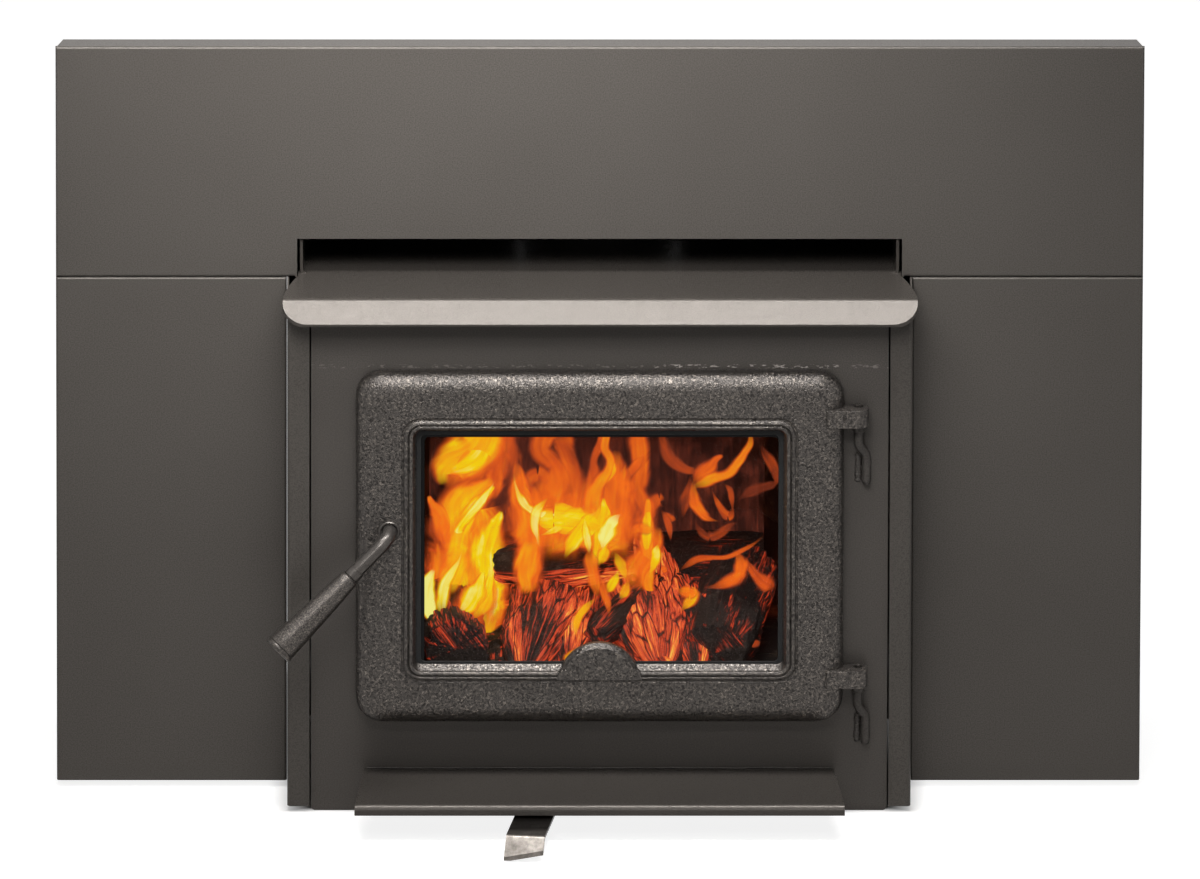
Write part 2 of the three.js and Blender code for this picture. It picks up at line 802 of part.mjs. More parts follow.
// Primary air: a channel under the floor, a shutter on the lever below it, and the pivot bolt
function airControl() {
  const half = channelWidth / 2;
  const middle = channelHeight + channelSheet / 2;
  const top = floorHeight - seat - channelSheet / 2;
  const edge = foldedSheet(
    [
      [leverPivotX - half - channelFlange, top], [leverPivotX - half, top], [leverPivotX - half, middle],
      [leverPivotX + half, middle], [leverPivotX + half, top], [leverPivotX + half + channelFlange, top],
    ],
    channelSheet,
    channelSheet,
  );
  const port = channelPort();
  const trough = cut(
    forward(edge, faceBack - weldLine - channelLength, faceBack - weldLine),
    post(port.x, port.y, portRadius, channelHeight - 1, channelHeight + channelSheet + 1, 32),
    post(leverPivotX, leverPivotY, pivotDiameter / 2 + turning, channelHeight - 1, channelHeight + 5, 24),
  );
  add('air_channel', trough, darkPaint);

  const reach = (leverFold + leverPivotY) / Math.cos(THREE.MathUtils.degToRad(leverYaw));
  const level = leverHeight - leverSheet / 2;
  const slant = Math.SQRT1_2 * leverTab;
  const strapLine = [[0, level], [-reach, level], [-reach - slant, level - slant]];
  const strap = foldedSheet(strapLine, leverSheet, leverBend);
  const blade = joined(
    sideways(strap, -leverWidth / 2, leverWidth / 2),
    post(0, 0, leverWidth / 2, level - leverSheet / 2, level + leverSheet / 2, 32),
    block(-leverWidth / 2, leverWidth / 2, 0, shutterOffset, level - leverSheet / 2, level + leverSheet / 2),
    post(0, shutterOffset, shutterRadius, level - leverSheet / 2, level + leverSheet / 2, 32),
  );
  const shortTip = reach + Math.SQRT1_2 * leverTabShort;
  const longTip = reach + slant;
  const sheared = shapeOf([
    [-leverWidth / 2 - 1, -longTip], [-leverWidth / 2 - 1, -longTip - leverTab],
    [leverWidth / 2 + 1, -longTip - leverTab], [leverWidth / 2 + 1, -shortTip],
  ]);
  const lever = cut(
    blade,
    upward(sheared, level - 2 * leverTab, level + leverTab),
    post(0, 0, pivotDiameter / 2 + turning, level - 10, level + 10, 24),
  );
  const swing = new THREE.Group();
  swing.position.set(leverPivotX, leverPivotY, 0);
  swing.rotation.z = THREE.MathUtils.degToRad(leverYaw);
  insert.add(swing);
  add('air_lever', lever, bareSteel, swing);

  const shank = pivotDiameter / 2;
  const head = pivotHead / 2;
  const underLever = leverHeight - leverSheet - seat;
  const overPanel = channelHeight + channelSheet + seat;
  const bolt = joined(
    post(leverPivotX, leverPivotY, shank, underLever - 1, overPanel + pivotHeadHeight + 4, 24),
    post(leverPivotX, leverPivotY, head, underLever - pivotHeadHeight, underLever, 6),
    post(leverPivotX, leverPivotY, head, overPanel, overPanel + pivotHeadHeight, 6),
  );
  add('air_lever_pivot', bolt, bareSteel);
}

function ashLip() {
  const back = faceFront + seat + lipPlate / 2;
  const front = faceFront + lipDepth;
  const level = lipPlateHeight - lipPlate / 2;
  const fall = level - lipFall;
  const edge = foldedSheet(
    [[-back, level - lipRear], [-back, level], [-front, fall], [-front - lipLean, fall - lipFlange]],
    lipPlate,
    lipBend - lipPlate + 1,
  );
  const plan = shapeOf([
    [-lipFrontWidth / 2, -front - 6], [lipFrontWidth / 2, -front - 6],
    [lipBackWidth / 2, -faceFront], [-lipBackWidth / 2, -faceFront],
  ]);
  const long = lipFrontWidth / 2 + 5;
  const lip = common(sideways(edge, -long, long), upward(plan, 0, lipPlateHeight + 5));
  add('ash_lip', lip, paint);
}

// The door's section, walked from the outer edge over the front and back along the inside
function doorCasting() {
  const rings = [];
  const station = (inset, front, corner) => rings.push(doorRing(inset, front, corner));
  for (let k = 0; k <= 5; k += 1) {
    const angle = (Math.PI / 2) * (k / 5);
    const inset = pillow * (1 - Math.cos(angle));
    station(inset, doorFront - pillow * (1 - Math.sin(angle)), doorCorner - inset);
  }
  const ridge = beadWidth / 4;
  const beadTop = doorFront + beadHeight;
  const beadStation = (inset, front) => {
    station(inset, front, THREE.MathUtils.mapLinear(inset, beadInset, windowInset, beadCorner, windowCorner));
  };
  beadStation(beadInset - coveWidth, doorFront);
  beadStation(beadInset - coveWidth / 3, doorFront - beadCove);
  beadStation(beadInset + ridge * 0.3, doorFront + beadHeight * 0.7);
  beadStation(beadInset + ridge, beadTop);
  beadStation(beadInset + ridge * 1.7, beadTop - beadGroove * 0.3);
  beadStation(beadInset + ridge * 2, beadTop - beadGroove);
  beadStation(beadInset + ridge * 2.3, beadTop - beadGroove * 0.3);
  beadStation(beadInset + ridge * 3, beadTop);
  beadStation(windowInset - ridge * 0.3, doorFront + beadHeight * 0.7);
  beadStation(windowInset, doorFront);
  station(windowInset + windowChamfer, glassSeat, windowCorner - windowChamfer);
  station(glassInset, glassSeat, windowCorner);
  station(glassInset, glassLedge, windowCorner);
  station(ledgeInset, glassLedge, openingCorner);
  station(ledgeInset, doorBack, openingCorner);
  station(ropeInset + ropeChannel / 2, doorBack, ropeCorner - ropeChannel / 2);
  station(ropeInset + ropeChannel / 2, doorBack + ropeDepth, ropeCorner - ropeChannel / 2);
  station(ropeInset - ropeChannel / 2, doorBack + ropeDepth, ropeCorner + ropeChannel / 2);
  station(ropeInset - ropeChannel / 2, doorBack, ropeCorner + ropeChannel / 2);
  station(backChamfer, doorBack, doorCorner - backChamfer);
  station(0, doorBack + backChamfer, doorCorner);
  const frame = ringLoft(rings);

  const lugX = hingeX + lugCorner - lugEdge / 2;
  const lugBack = doorBack + ropeDepth + lugEdge;
  const lugs = [upperLug, lowerLug].map((low) => {
    const plan = new THREE.Shape();
    plan.moveTo(lugX - lugLength, -lugBack);
    plan.lineTo(lugX - lugLength, -lugFront + lugEdge);
    plan.lineTo(lugX - lugLength + lugEdge, -lugFront);
    plan.lineTo(lugX - lugCorner, -lugFront);
    plan.absarc(lugX - lugCorner, -lugFront + lugCorner, lugCorner, -Math.PI / 2, 0);
    plan.lineTo(lugX, -hingeStandoff);
    plan.absarc(lugX - lugRound, -hingeStandoff, lugRound, 0, Math.PI / 2);
    plan.lineTo(lugX - lugRoot, -hingeStandoff + lugRound);
    plan.lineTo(doorWidth / 2 - lugBite, -(doorBack + lugBite));
    plan.lineTo(doorWidth / 2 - lugBite, -lugBack);
    return upward(plan, low, low + lugHeight, 5);
  });
  const middle = windowBottom + bossRise - bossRadius;
  const arch = new THREE.Shape();
  const beadLow = windowBottom - beadWidth;
  const lean = Math.asin((beadLow + beadHeight - middle) / bossRadius);
  const shoulder = Math.asin(bossShoulder);
  const foot = bossRadius + bossFillet * bossFoot;
  arch.moveTo(-bossRadius * Math.cos(lean) - bossFillet, beadLow + ridge / 2);
  arch.lineTo(bossRadius * Math.cos(lean) + bossFillet, beadLow + ridge / 2);
  arch.lineTo(foot, windowBottom);
  arch.quadraticCurveTo(
    bossRadius, windowBottom + ridge / 2, bossRadius * Math.cos(shoulder), middle + bossRadius * bossShoulder,
  );
  arch.absarc(0, middle, bossRadius, shoulder, Math.PI - shoulder);
  arch.quadraticCurveTo(-bossRadius, windowBottom + ridge / 2, -foot, windowBottom);
  const boss = forward(arch, glassSeat, doorFront + beadHeight, 12);
  const hubRadius = handleInset - ropeInset - ropeChannel / 2;
  const hub = stud(handleX, handleHeight, hubRadius, doorBack, glassLedge + backChamfer, 32);
  const body = joined(frame, ...lugs, boss, hub);
  const pinHoles = [upperLug, lowerLug].map((low) => (
    post(hingeX, -hingeStandoff, pinDiameter / 2 + turning, low - 1, low + lugHeight + 1, 24)
  ));
  const rodHole = stud(handleX, handleHeight, rodDiameter / 2 + turning, doorBack - 5, lugFront + 5, 32);
  add('door_casting', cut(body, ...pinHoles, rodHole), casting);
}

function doorFittings() {
  const ropeRings = [];
  const ropeMiddle = faceFront + seat + ropeDiameter / 2;
  for (let k = 0; k < 8; k += 1) {
    const angle = (Math.PI / 4) * k;
    const inset = ropeInset + (ropeDiameter / 2) * Math.cos(angle);
    const front = ropeMiddle + (ropeDiameter / 2) * Math.sin(angle);
    ropeRings.push(doorRing(inset, front, ropeCorner + ropeInset - inset).reverse());
  }
  add('door_gasket', ringLoft(ropeRings), rope);

  const outer = glassInset + seat;
  const tapeFront = glassSeat - seat;
  const tapeBack = tapeFront - tapeThickness;
  const tapeRings = [
    doorRing(outer, tapeFront, windowCorner),
    doorRing(outer + tapeWidth, tapeFront, windowCorner / 2),
    doorRing(outer + tapeWidth, tapeBack, windowCorner / 2),
    doorRing(outer, tapeBack, windowCorner),
  ];
  add('glass_gasket', ringLoft(tapeRings), rope);

  const pane = roundedRect(
    -doorWidth / 2 + outer,
    doorWidth / 2 - outer,
    doorBottom + outer,
    doorBottom + doorHeight - outer,
    windowCorner,
  );
  const paneFront = tapeBack - seat;
  add('door_glass', forward(pane, paneFront - glassThickness, paneFront, 5), clearGlass);

  const plateFront = Math.min(glassLedge, paneFront - glassThickness) - seat;
  const long = doorWidth / 2 - glassInset + retainerReach;
  const edges = [
    [doorBottom + doorHeight - glassInset + retainerLap - retainerWidth, 'top'],
    [doorBottom + glassInset - retainerLap, 'bottom'],
  ];
  for (const [low, word] of edges) {
    const strip = roundedRect(-long, long, low, low + retainerWidth, retainerLap);
    add(`glass_retainer_${word}`, forward(strip, plateFront - retainerPlate, plateFront, 4), bareSteel);
  }
}

// A bent rod: straight through the lug, joggled back and welded to the face plate
function hingePins() {
  for (const [low, word] of [[upperLug, 'upper'], [lowerLug, 'lower']]) {
    const weldFront = faceFront + pinDiameter / 2 + seat;
    const path = new THREE.CurvePath();
    const top = new THREE.Vector3(hingeX, -hingeStandoff, low + pinInLug);
    const neck = new THREE.Vector3(hingeX, -hingeStandoff, low - pinNeck);
    const foot = new THREE.Vector3(hingeX + pinJoggle, -weldFront, low - pinNeck - pinJoggleLength);
    const end = new THREE.Vector3(hingeX + pinJoggle, -weldFront, low - pinLength);
    const ease = new THREE.Vector3(0, 0, pinJoggleLength * 0.6);
    path.add(new THREE.LineCurve3(top, neck));
    path.add(new THREE.CubicBezierCurve3(neck, neck.clone().sub(ease), foot.clone().add(ease), foot));
    path.add(new THREE.LineCurve3(foot, end));
    const section = new THREE.Shape();
    section.absarc(0, 0, pinDiameter / 2, 0, Math.PI * 2);
    const rod = new THREE.ExtrudeGeometry(section, { steps: 22, curveSegments: 8, extrudePath: path });
    const collar = post(hingeX, -hingeStandoff, pinCollar / 2, low - seat - pinCollarHeight, low - seat, 24);
    add(`hinge_pin_${word}`, joined(rod, collar), bareSteel);
  }
}

function handle() {
  const elbow = new THREE.Vector3(handleX, -rodElbow, handleHeight);
  const along = new THREE.Vector3(gripFrom[0], -gripFrom[1], gripFrom[2]);
  const gripAt = elbow.clone().add(along);
  const direction = along.clone().normalize();
  const nutFront = doorBack - seat - camThickness - seat;
  const path = new THREE.CurvePath();
  const inner = new THREE.Vector3(handleX, -doorBack, handleHeight);
  const bendIn = elbow.clone().add(new THREE.Vector3(0, elbowRadius, 0));
  const bendOut = elbow.clone().addScaledVector(direction, elbowRadius);
  const rodEnd = gripAt.clone().addScaledVector(direction, gripSocket);
  path.add(new THREE.LineCurve3(inner, bendIn));
  path.add(new THREE.QuadraticBezierCurve3(bendIn, elbow, bendOut));
  path.add(new THREE.LineCurve3(bendOut, rodEnd));
  const section = new THREE.Shape();
  section.absarc(0, 0, rodDiameter / 2, 0, Math.PI * 2);
  const rod = new THREE.ExtrudeGeometry(section, { steps: 30, curveSegments: 9, extrudePath: path });
  const tail = stud(
    handleX, handleHeight, tailDiameter / 2, nutFront - nutHeight - rodThread, doorBack + rodThread, 20,
  );
  add('handle_rod', joined(rod, tail), darkPaint);

  const washer = new THREE.Shape();
  washer.absarc(handleX, handleHeight, washerDiameter / 2, 0, Math.PI * 2);
  const washerHole = new THREE.Path();
  washerHole.absarc(handleX, handleHeight, rodDiameter / 2 + turning, 0, Math.PI * 2);
  washer.holes.push(washerHole);
  const washerBack = doorFront + seat;
  add('handle_washer', forward(washer, washerBack, washerBack + washerThickness, 12), darkPaint);

  const turned = new THREE.Group();
  turned.position.copy(gripAt);
  turned.quaternion.setFromUnitVectors(axisY, direction);
  insert.add(turned);
  const rodFit = rodDiameter / 2 + turning;
  const rim = ferruleDiameter / 2;
  const ring = [[rodFit, 0], [rim, 0], [rim, ferruleLength], [rodFit, ferruleLength], [rodFit, 0]];
  add('handle_ferrule', lathed(ring, 24), bareSteel, turned);

  const start = ferruleLength + seat;
  const end = start + gripLength;
  const socket = Math.max(gripSocket + seat, start + gripEdge * 1.4);
  const profile = [
    [rodFit, start], [gripStart / 2 - gripEdge / 2, start], [gripStart / 2, start + gripEdge],
    [gripEnd / 2 - gripStep, end - gripRing - gripEdge], [gripEnd / 2 - gripStep, end - gripRing],
    [gripEnd / 2, end - gripRing + gripEdge / 2], [gripEnd / 2, end - gripEdge], [gripEnd / 2 - gripEdge, end],
    [0, end], [0, socket], [rodFit, socket], [rodFit, start],
  ];
  add('handle_grip', lathed(profile, 28), bareSteel, turned);

  const camFront = doorBack - seat;
  const cam = new THREE.Shape();
  cam.absarc(handleX, handleHeight, camRadius, Math.PI / 3, Math.PI * 5 / 3);
  const camHole = new THREE.Path();
  camHole.absarc(handleX, handleHeight, tailDiameter / 2 + turning, 0, Math.PI * 2);
  cam.lineTo(handleX + camRadius * 1.2, handleHeight - camRadius * 0.5);
  cam.lineTo(handleX + camRadius * 1.2, handleHeight + camRadius * 0.5);
  cam.holes.push(camHole);
  add('latch_cam', forward(cam, camFront - camThickness, camFront, 12), bareSteel);

  const nut = new THREE.Shape();
  for (let k = 0; k < 6; k += 1) {
    const angle = (Math.PI / 3) * k;
    const radius = nutAcross / Math.sqrt(3);
    const x = handleX + radius * Math.cos(angle);
    const z = handleHeight + radius * Math.sin(angle);
    if (k === 0) nut.moveTo(x, z);
    else nut.lineTo(x, z);
  }
  const nutHole = new THREE.Path();
  nutHole.absarc(handleX, handleHeight, tailDiameter / 2 + turning, 0, Math.PI * 2);
  nut.holes.push(nutHole);
  add('latch_nut', forward(nut, nutFront - nutHeight, nutFront, 12), bareSteel);
}

// A turned profile of [radius, along], with its faces outward
function lathed(profile, sides) {
  const geometry = new THREE.LatheGeometry(profile.map(([r, y]) => new THREE.Vector2(r, y)), sides);
  return mergeVertices(geometry, 1e-5);
}

surroundPanels();
hood();
casing();
facePlateSolid();
firebox();
flueCollar();
bricks();
baffle();
airControl();
ashLip();
hingePins();
doorCasting();
doorFittings();
handle();

export default insert;
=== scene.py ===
import math

import bmesh
import bpy
from mathutils import Matrix, Vector, noise


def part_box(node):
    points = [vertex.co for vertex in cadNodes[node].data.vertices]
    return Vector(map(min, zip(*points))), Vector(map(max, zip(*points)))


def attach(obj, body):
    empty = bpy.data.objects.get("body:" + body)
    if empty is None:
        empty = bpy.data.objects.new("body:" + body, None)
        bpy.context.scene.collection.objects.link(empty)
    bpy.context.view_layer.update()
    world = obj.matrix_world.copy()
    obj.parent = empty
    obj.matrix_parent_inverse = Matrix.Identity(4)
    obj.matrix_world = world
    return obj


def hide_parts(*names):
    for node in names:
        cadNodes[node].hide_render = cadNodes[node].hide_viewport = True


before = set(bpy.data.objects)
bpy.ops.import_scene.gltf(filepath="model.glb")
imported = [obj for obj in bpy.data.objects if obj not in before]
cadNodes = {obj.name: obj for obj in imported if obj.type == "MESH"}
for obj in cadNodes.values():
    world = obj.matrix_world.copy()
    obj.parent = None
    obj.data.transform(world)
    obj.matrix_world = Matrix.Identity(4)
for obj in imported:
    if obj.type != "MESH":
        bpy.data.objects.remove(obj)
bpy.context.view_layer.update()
print("frame:", len(cadNodes), "pieces")

mm = 0.001

camera = {
    "target": (0.0004, -0.060, 0.400),  # the middle of the insert's front
    "azimuth": -0.49,
    "elevation": 17.4,
    "roll": 0.15,
    "drop": 0.0051,  # the picture's middle lies this far below the target
    "distance": 37.26,
    "lens": 1087.4,
}

studio = {
    "floorColour": "a3a19f",
    "floorSize": 9.0,
    "floorLift": (0.86, 0.995),  # what the camera sees added to the lit floor, near the lamp and far from it
    "liftReach": (0.7, 1.9),  # those two distances from the spot under the lamp, in metres
    "ambient": 0.03,
    "topLight": {
        "place": (-0.20, -0.76, 1.36),
        "aim": (-0.15, 0.0, 0.96),
        "size": (0.9, 0.35),
        "power": 5.2,
        "spread": 84,
    },
    "stripLight": {
        "place": (-0.05, -0.34, 1.75),
        "aim": (-0.05, -0.34, 0.0),
        "size": (1.5, 0.3),
        "power": 9.6,
        "spread": 80,
    },
    "doorLight": {
        "place": (-0.10, -1.60, 1.57),
        "aim": (0.0, -0.10, 0.46),
        "size": (1.6, 0.3),
        "power": 1.1,
        "spread": 32,
    },
    "keyLight": {
        "place": (-2.2, -2.6, 1.5), "aim": (0.0, 0.0, 0.45), "size": (0.9, 0.9), "power": 0.5, "spread": 180
    },
    "fillLight": {
        "place": (2.4, -2.8, 1.2), "aim": (0.0, 0.0, 0.40), "size": (1.2, 1.2), "power": 0.6, "spread": 180
    },
}


# small helpers


def linear(hexText):  # sRGB hex to the linear colour that the nodes take
    parts = [int(hexText[i : i + 2], 16) / 255 for i in (0, 2, 4)]
    return tuple(c / 12.92 if c <= 0.04045 else ((c + 0.055) / 1.055) ** 2.4 for c in parts) + (1.0,)


def addNode(tree, kind, inputs=None, **settings):
    node = tree.nodes.new(kind)
    for name, value in settings.items():
        setattr(node, name, value)
    for key, value in (inputs or {}).items():
        if isinstance(value, bpy.types.NodeSocket):
            tree.links.new(value, node.inputs[key])
        else:
            node.inputs[key].default_value = value
    return node


def calc(tree, operation, first, second=0.0, third=0.0):
    node = addNode(tree, "ShaderNodeMath", {0: first, 1: second, 2: third}, operation=operation)
    return node.outputs[0]


def stretch(tree, value, low, high, toLow=0.0, toHigh=1.0, smooth=False):
    kind = "SMOOTHSTEP" if smooth else "LINEAR"
    node = addNode(
        tree,
        "ShaderNodeMapRange",
        {"Value": value, "From Min": low, "From Max": high, "To Min": toLow, "To Max": toHigh},
        interpolation_type=kind,
    )
    return node.outputs["Result"]


def ramp(tree, value, stops):
    node = addNode(tree, "ShaderNodeValToRGB", {"Fac": value})
    elements = node.color_ramp.elements
    while len(elements) < len(stops):
        elements.new(0.5)
    for element, (place, hexText) in zip(elements, stops):
        element.position = place
        element.color = linear(hexText)
    return node.outputs["Color"]


def grain(tree, place, size, detail=2.0, roughness=0.5, distortion=0.0):  # noise whose lumps measure size mm
    node = addNode(
        tree,
        "ShaderNodeTexNoise",
        {
            "Vector": place,
            "Scale": 1 / (size * mm),
            "Detail": detail,
            "Roughness": roughness,
            "Distortion": distortion,
        },
    )
    return node.outputs["Fac"]


def streaked(tree, place, **settings):  # noise at the scale that the place already has
    inputs = {"Vector": place, "Scale": 1.0}
    inputs.update({key.capitalize(): value for key, value in settings.items()})
    return addNode(tree, "ShaderNodeTexNoise", inputs).outputs["Fac"]


def attribute(tree, name):
    return addNode(tree, "ShaderNodeAttribute", attribute_name=name).outputs["Fac"]


# the scale that gives a pattern these sizes in mm, left as it is where there is none
def perMillimetre(*sizes):
    return tuple(1 / (size * mm) for size in sizes) + (1.0,) * (3 - len(sizes))


def blendColour(tree, factor, first, second):
    node = addNode(tree, "ShaderNodeMix", data_type="RGBA")
    for socket, value in ((node.inputs[0], factor), (node.inputs[6], first), (node.inputs[7], second)):
        if isinstance(value, bpy.types.NodeSocket):
            tree.links.new(value, socket)
        else:
            socket.default_value = value
    return node.outputs[2]


def startMaterial(name, **constants):
    material = bpy.data.materials.new(name)
    material.use_nodes = True
    tree = material.node_tree
    shader = tree.nodes["Principled BSDF"]
    for key, value in constants.items():
        shader.inputs[key.replace("_", " ")].default_value = value
    place = addNode(tree, "ShaderNodeTexCoord").outputs["Object"]
    return material, tree, shader, place


def addBump(tree, shader, height, depth, strength=1.0, under=None):
    inputs = {"Height": height, "Distance": depth * mm, "Strength": strength}
    if under is not None:
        inputs["Normal"] = under
    node = addNode(tree, "ShaderNodeBump", inputs)
    tree.links.new(node.outputs["Normal"], shader.inputs["Normal"])
    return node.outputs["Normal"]


# finishes


# high-temperature metallic paint: the flakes give a fine light and dark speckle
def sprayedPaint(name, look):
    material, tree, shader, place = startMaterial(name, Metallic=look["metallic"])
    shader.inputs["Specular IOR Level"].default_value = look["shine"]
    flakes = grain(tree, place, look["flake"], 2.0, 0.7)
    clouds = grain(tree, place, 160, 2.0)
    tone = calc(tree, "ADD", stretch(tree, flakes, 0.3, 0.7), stretch(tree, clouds, 0.3, 0.7, -0.05, 0.05))
    colour = ramp(tree, tone, ((0.15, look["dark"]), (0.5, look["base"]), (0.85, look["light"])))
    if "wear" in look:
        colour = scuffed(tree, place, colour, look["wear"])
    tree.links.new(colour, shader.inputs["Base Color"])
    gloss = stretch(tree, flakes, 0.35, 0.65, look["roughness"] + 0.05, look["roughness"] - 0.05)
    tree.links.new(gloss, shader.inputs["Roughness"])
    addBump(tree, shader, flakes, look["relief"], 0.5)
    return material


# chips down to bare metal in a narrow band, most of them in its bright stretch
def scuffed(tree, place, colour, wear):
    parts = addNode(tree, "ShaderNodeSeparateXYZ", {"Vector": place})
    off = calc(tree, "ABSOLUTE", calc(tree, "SUBTRACT", parts.outputs["Z"], wear["z"] * mm))
    near = stretch(tree, off, wear["wide"] * mm, wear["wide"] * 0.4 * mm)
    low, high = wear["stretch"]
    middle, half = (low + high) / 2, (high - low) / 2
    aside = calc(tree, "ABSOLUTE", calc(tree, "SUBTRACT", parts.outputs["X"], middle * mm))
    most = stretch(tree, aside, (half + 30) * mm, half * mm, 0.25, 1.0)
    sheared = addNode(
        tree, "ShaderNodeMapping", {"Vector": place, "Rotation": (0.0, 0.5, 0.0), "Scale": (0.55, 1.0, 1.5)}
    )
    chips = grain(tree, sheared.outputs["Vector"], 3.2, 3.0, 0.6)
    shown = calc(tree, "MULTIPLY", calc(tree, "MULTIPLY", near, most), stretch(tree, chips, 0.55, 0.62))
    return blendColour(tree, shown, colour, linear("b5aea6"))


# sand-cast skin under the paint: lumps of a few millimetres that sparkle in the light; their colour is also
# lighter on top and darker in the hollows, as painted highlight and shade
def castIron(name, look):
    material, tree, shader, place = startMaterial(name, Metallic=look["metallic"])
    shader.inputs["Specular IOR Level"].default_value = look["shine"]
    skin = grain(tree, place, look["lump"], 2.0, 0.5, 1.0)
    fine = grain(tree, place, look["flake"], 2.0)
    clouds = grain(tree, place, 70, 2.0)
    # painted highlight and shade: the colour follows the lumps' height, lighter on their tops and darker in their
    # hollows
    tone = calc(tree, "ADD", stretch(tree, skin, 0.34, 0.66), stretch(tree, clouds, 0.3, 0.7, -0.06, 0.06))
    colour = ramp(
        tree, tone, ((0.05, look["dark"]), (0.42, look["base"]), (0.62, look["base"]), (1.0, look["light"]))
    )
    tree.links.new(colour, shader.inputs["Base Color"])
    gloss = stretch(tree, skin, 0.35, 0.65, look["roughness"] + 0.06, look["roughness"] - 0.06)
    tree.links.new(gloss, shader.inputs["Roughness"])
    under = addBump(tree, shader, skin, look["relief"], look["strength"])
    addBump(tree, shader, fine, 0.05, 0.5, under)
    return material


def bareSteel(name, look):  # mill-finish steel: cloudy grey with a faint brown bloom from the heat
    material, tree, shader, place = startMaterial(name, Metallic=0.85)
    clouds = grain(tree, place, 14, 5.0, 0.65)
    fine = grain(tree, place, 0.9, 2.0)
    colour = ramp(tree, clouds, ((0.3, look["dark"]), (0.5, look["base"]), (0.72, look["light"])))
    if "shadedUnderLip" in look:  # painted shade: the part that reaches back under the ash lip is coloured near-black where the lip's shadow falls
        parts = addNode(tree, "ShaderNodeSeparateXYZ", {"Vector": place})
        ragged = calc(tree, "ADD", parts.outputs["Y"], stretch(tree, clouds, 0.3, 0.7, -0.004, 0.004))
        low, high = look["shadedUnderLip"]
        colour = blendColour(tree, stretch(tree, ragged, low * mm, high * mm), colour, linear("1f1c1a"))
    tree.links.new(colour, shader.inputs["Base Color"])
    tree.links.new(
        stretch(tree, clouds, 0.3, 0.7, look["roughness"] + 0.1, look["roughness"] - 0.08),
        shader.inputs["Roughness"],
    )
    addBump(tree, shader, fine, 0.05, 0.5)
    return material


def fireBrick(name):  # porous fireclay, blackened by soot in patches
    material, tree, shader, place = startMaterial(name, Roughness=0.95)
    pores = addNode(
        tree, "ShaderNodeTexVoronoi", {"Vector": place, "Scale": 1 / (2.6 * mm)}
    ).outputs["Distance"]
    soot = grain(tree, place, 55, 4.0, 0.6)
    grit = grain(tree, place, 1.6, 3.0)
    clay = ramp(tree, grit, ((0.3, "57483a"), (0.5, "6b5a49"), (0.7, "7d6b58")))
    colour = blendColour(tree, stretch(tree, soot, 0.36, 0.56, smooth=True), clay, linear("231d19"))
    tree.links.new(colour, shader.inputs["Base Color"])
    holes = stretch(tree, pores, 0.1, 0.35)
    under = addBump(tree, shader, holes, 0.5, 0.5)
    addBump(tree, shader, grit, 0.25, 0.6, under)
    return material


def fibreBoard(name):  # pressed ceramic fibre: soft, off-white, browned by smoke in patches
    material, tree, shader, place = startMaterial(name, Roughness=0.97)
    fibres = addNode(
        tree, "ShaderNodeMapping", {"Vector": place, "Scale": (0.25, 1.0, 1.0)}
    ).outputs["Vector"]
    strands = grain(tree, fibres, 1.2, 4.0, 0.6)
    smoke = grain(tree, place, 60, 3.0)
    colour = ramp(tree, strands, ((0.3, "8f836c"), (0.5, "a79a80"), (0.7, "b9ad94")))
    colour = blendColour(tree, stretch(tree, smoke, 0.45, 0.62, 0.0, 0.75, True), colour, linear("3c332a"))
    tree.links.new(colour, shader.inputs["Base Color"])
    addBump(tree, shader, strands, 0.3, 0.7)
    return material


def knittedRope(name, pitch):  # knitted glass-fibre rope: crossing strands that follow the cord's own UV map
    material, tree, shader, place = startMaterial(name, Roughness=0.92)
    uv = addNode(tree, "ShaderNodeUVMap", uv_map="along").outputs["UV"]
    parts = addNode(tree, "ShaderNodeSeparateXYZ", {"Vector": uv})
    along = calc(tree, "MULTIPLY", parts.outputs["X"], 2 * math.pi / (pitch * mm))
    round_ = calc(tree, "MULTIPLY", parts.outputs["Y"], 2 * math.pi * 6)
    left = calc(tree, "ABSOLUTE", calc(tree, "SINE", calc(tree, "ADD", along, round_)))
    right = calc(tree, "ABSOLUTE", calc(tree, "SINE", calc(tree, "SUBTRACT", along, round_)))
    knit = calc(tree, "MAXIMUM", left, right)
    colour = ramp(tree, knit, ((0.2, "141414"), (0.7, "2c2b2a"), (1.0, "474542")))
    tree.links.new(colour, shader.inputs["Base Color"])
    addBump(tree, shader, knit, 0.5, 0.8)
    return material


def wovenTape(name):  # flat woven glass tape, dyed black, the dark line round the window
    material, tree, shader, place = startMaterial(name, Roughness=0.9)
    warp = addNode(tree, "ShaderNodeTexWave", {"Vector": place, "Scale": 1 / (4.4 * mm)}, bands_direction="X")
    weft = addNode(tree, "ShaderNodeTexWave", {"Vector": place, "Scale": 1 / (4.4 * mm)}, bands_direction="Z")
    weave = calc(tree, "MAXIMUM", warp.outputs["Fac"], weft.outputs["Fac"])
    colour = ramp(tree, weave, ((0.1, "060606"), (0.8, "0e0e0e"), (1.0, "161616")))
    tree.links.new(colour, shader.inputs["Base Color"])
    addBump(tree, shader, weave, 0.2, 0.6)
    return material


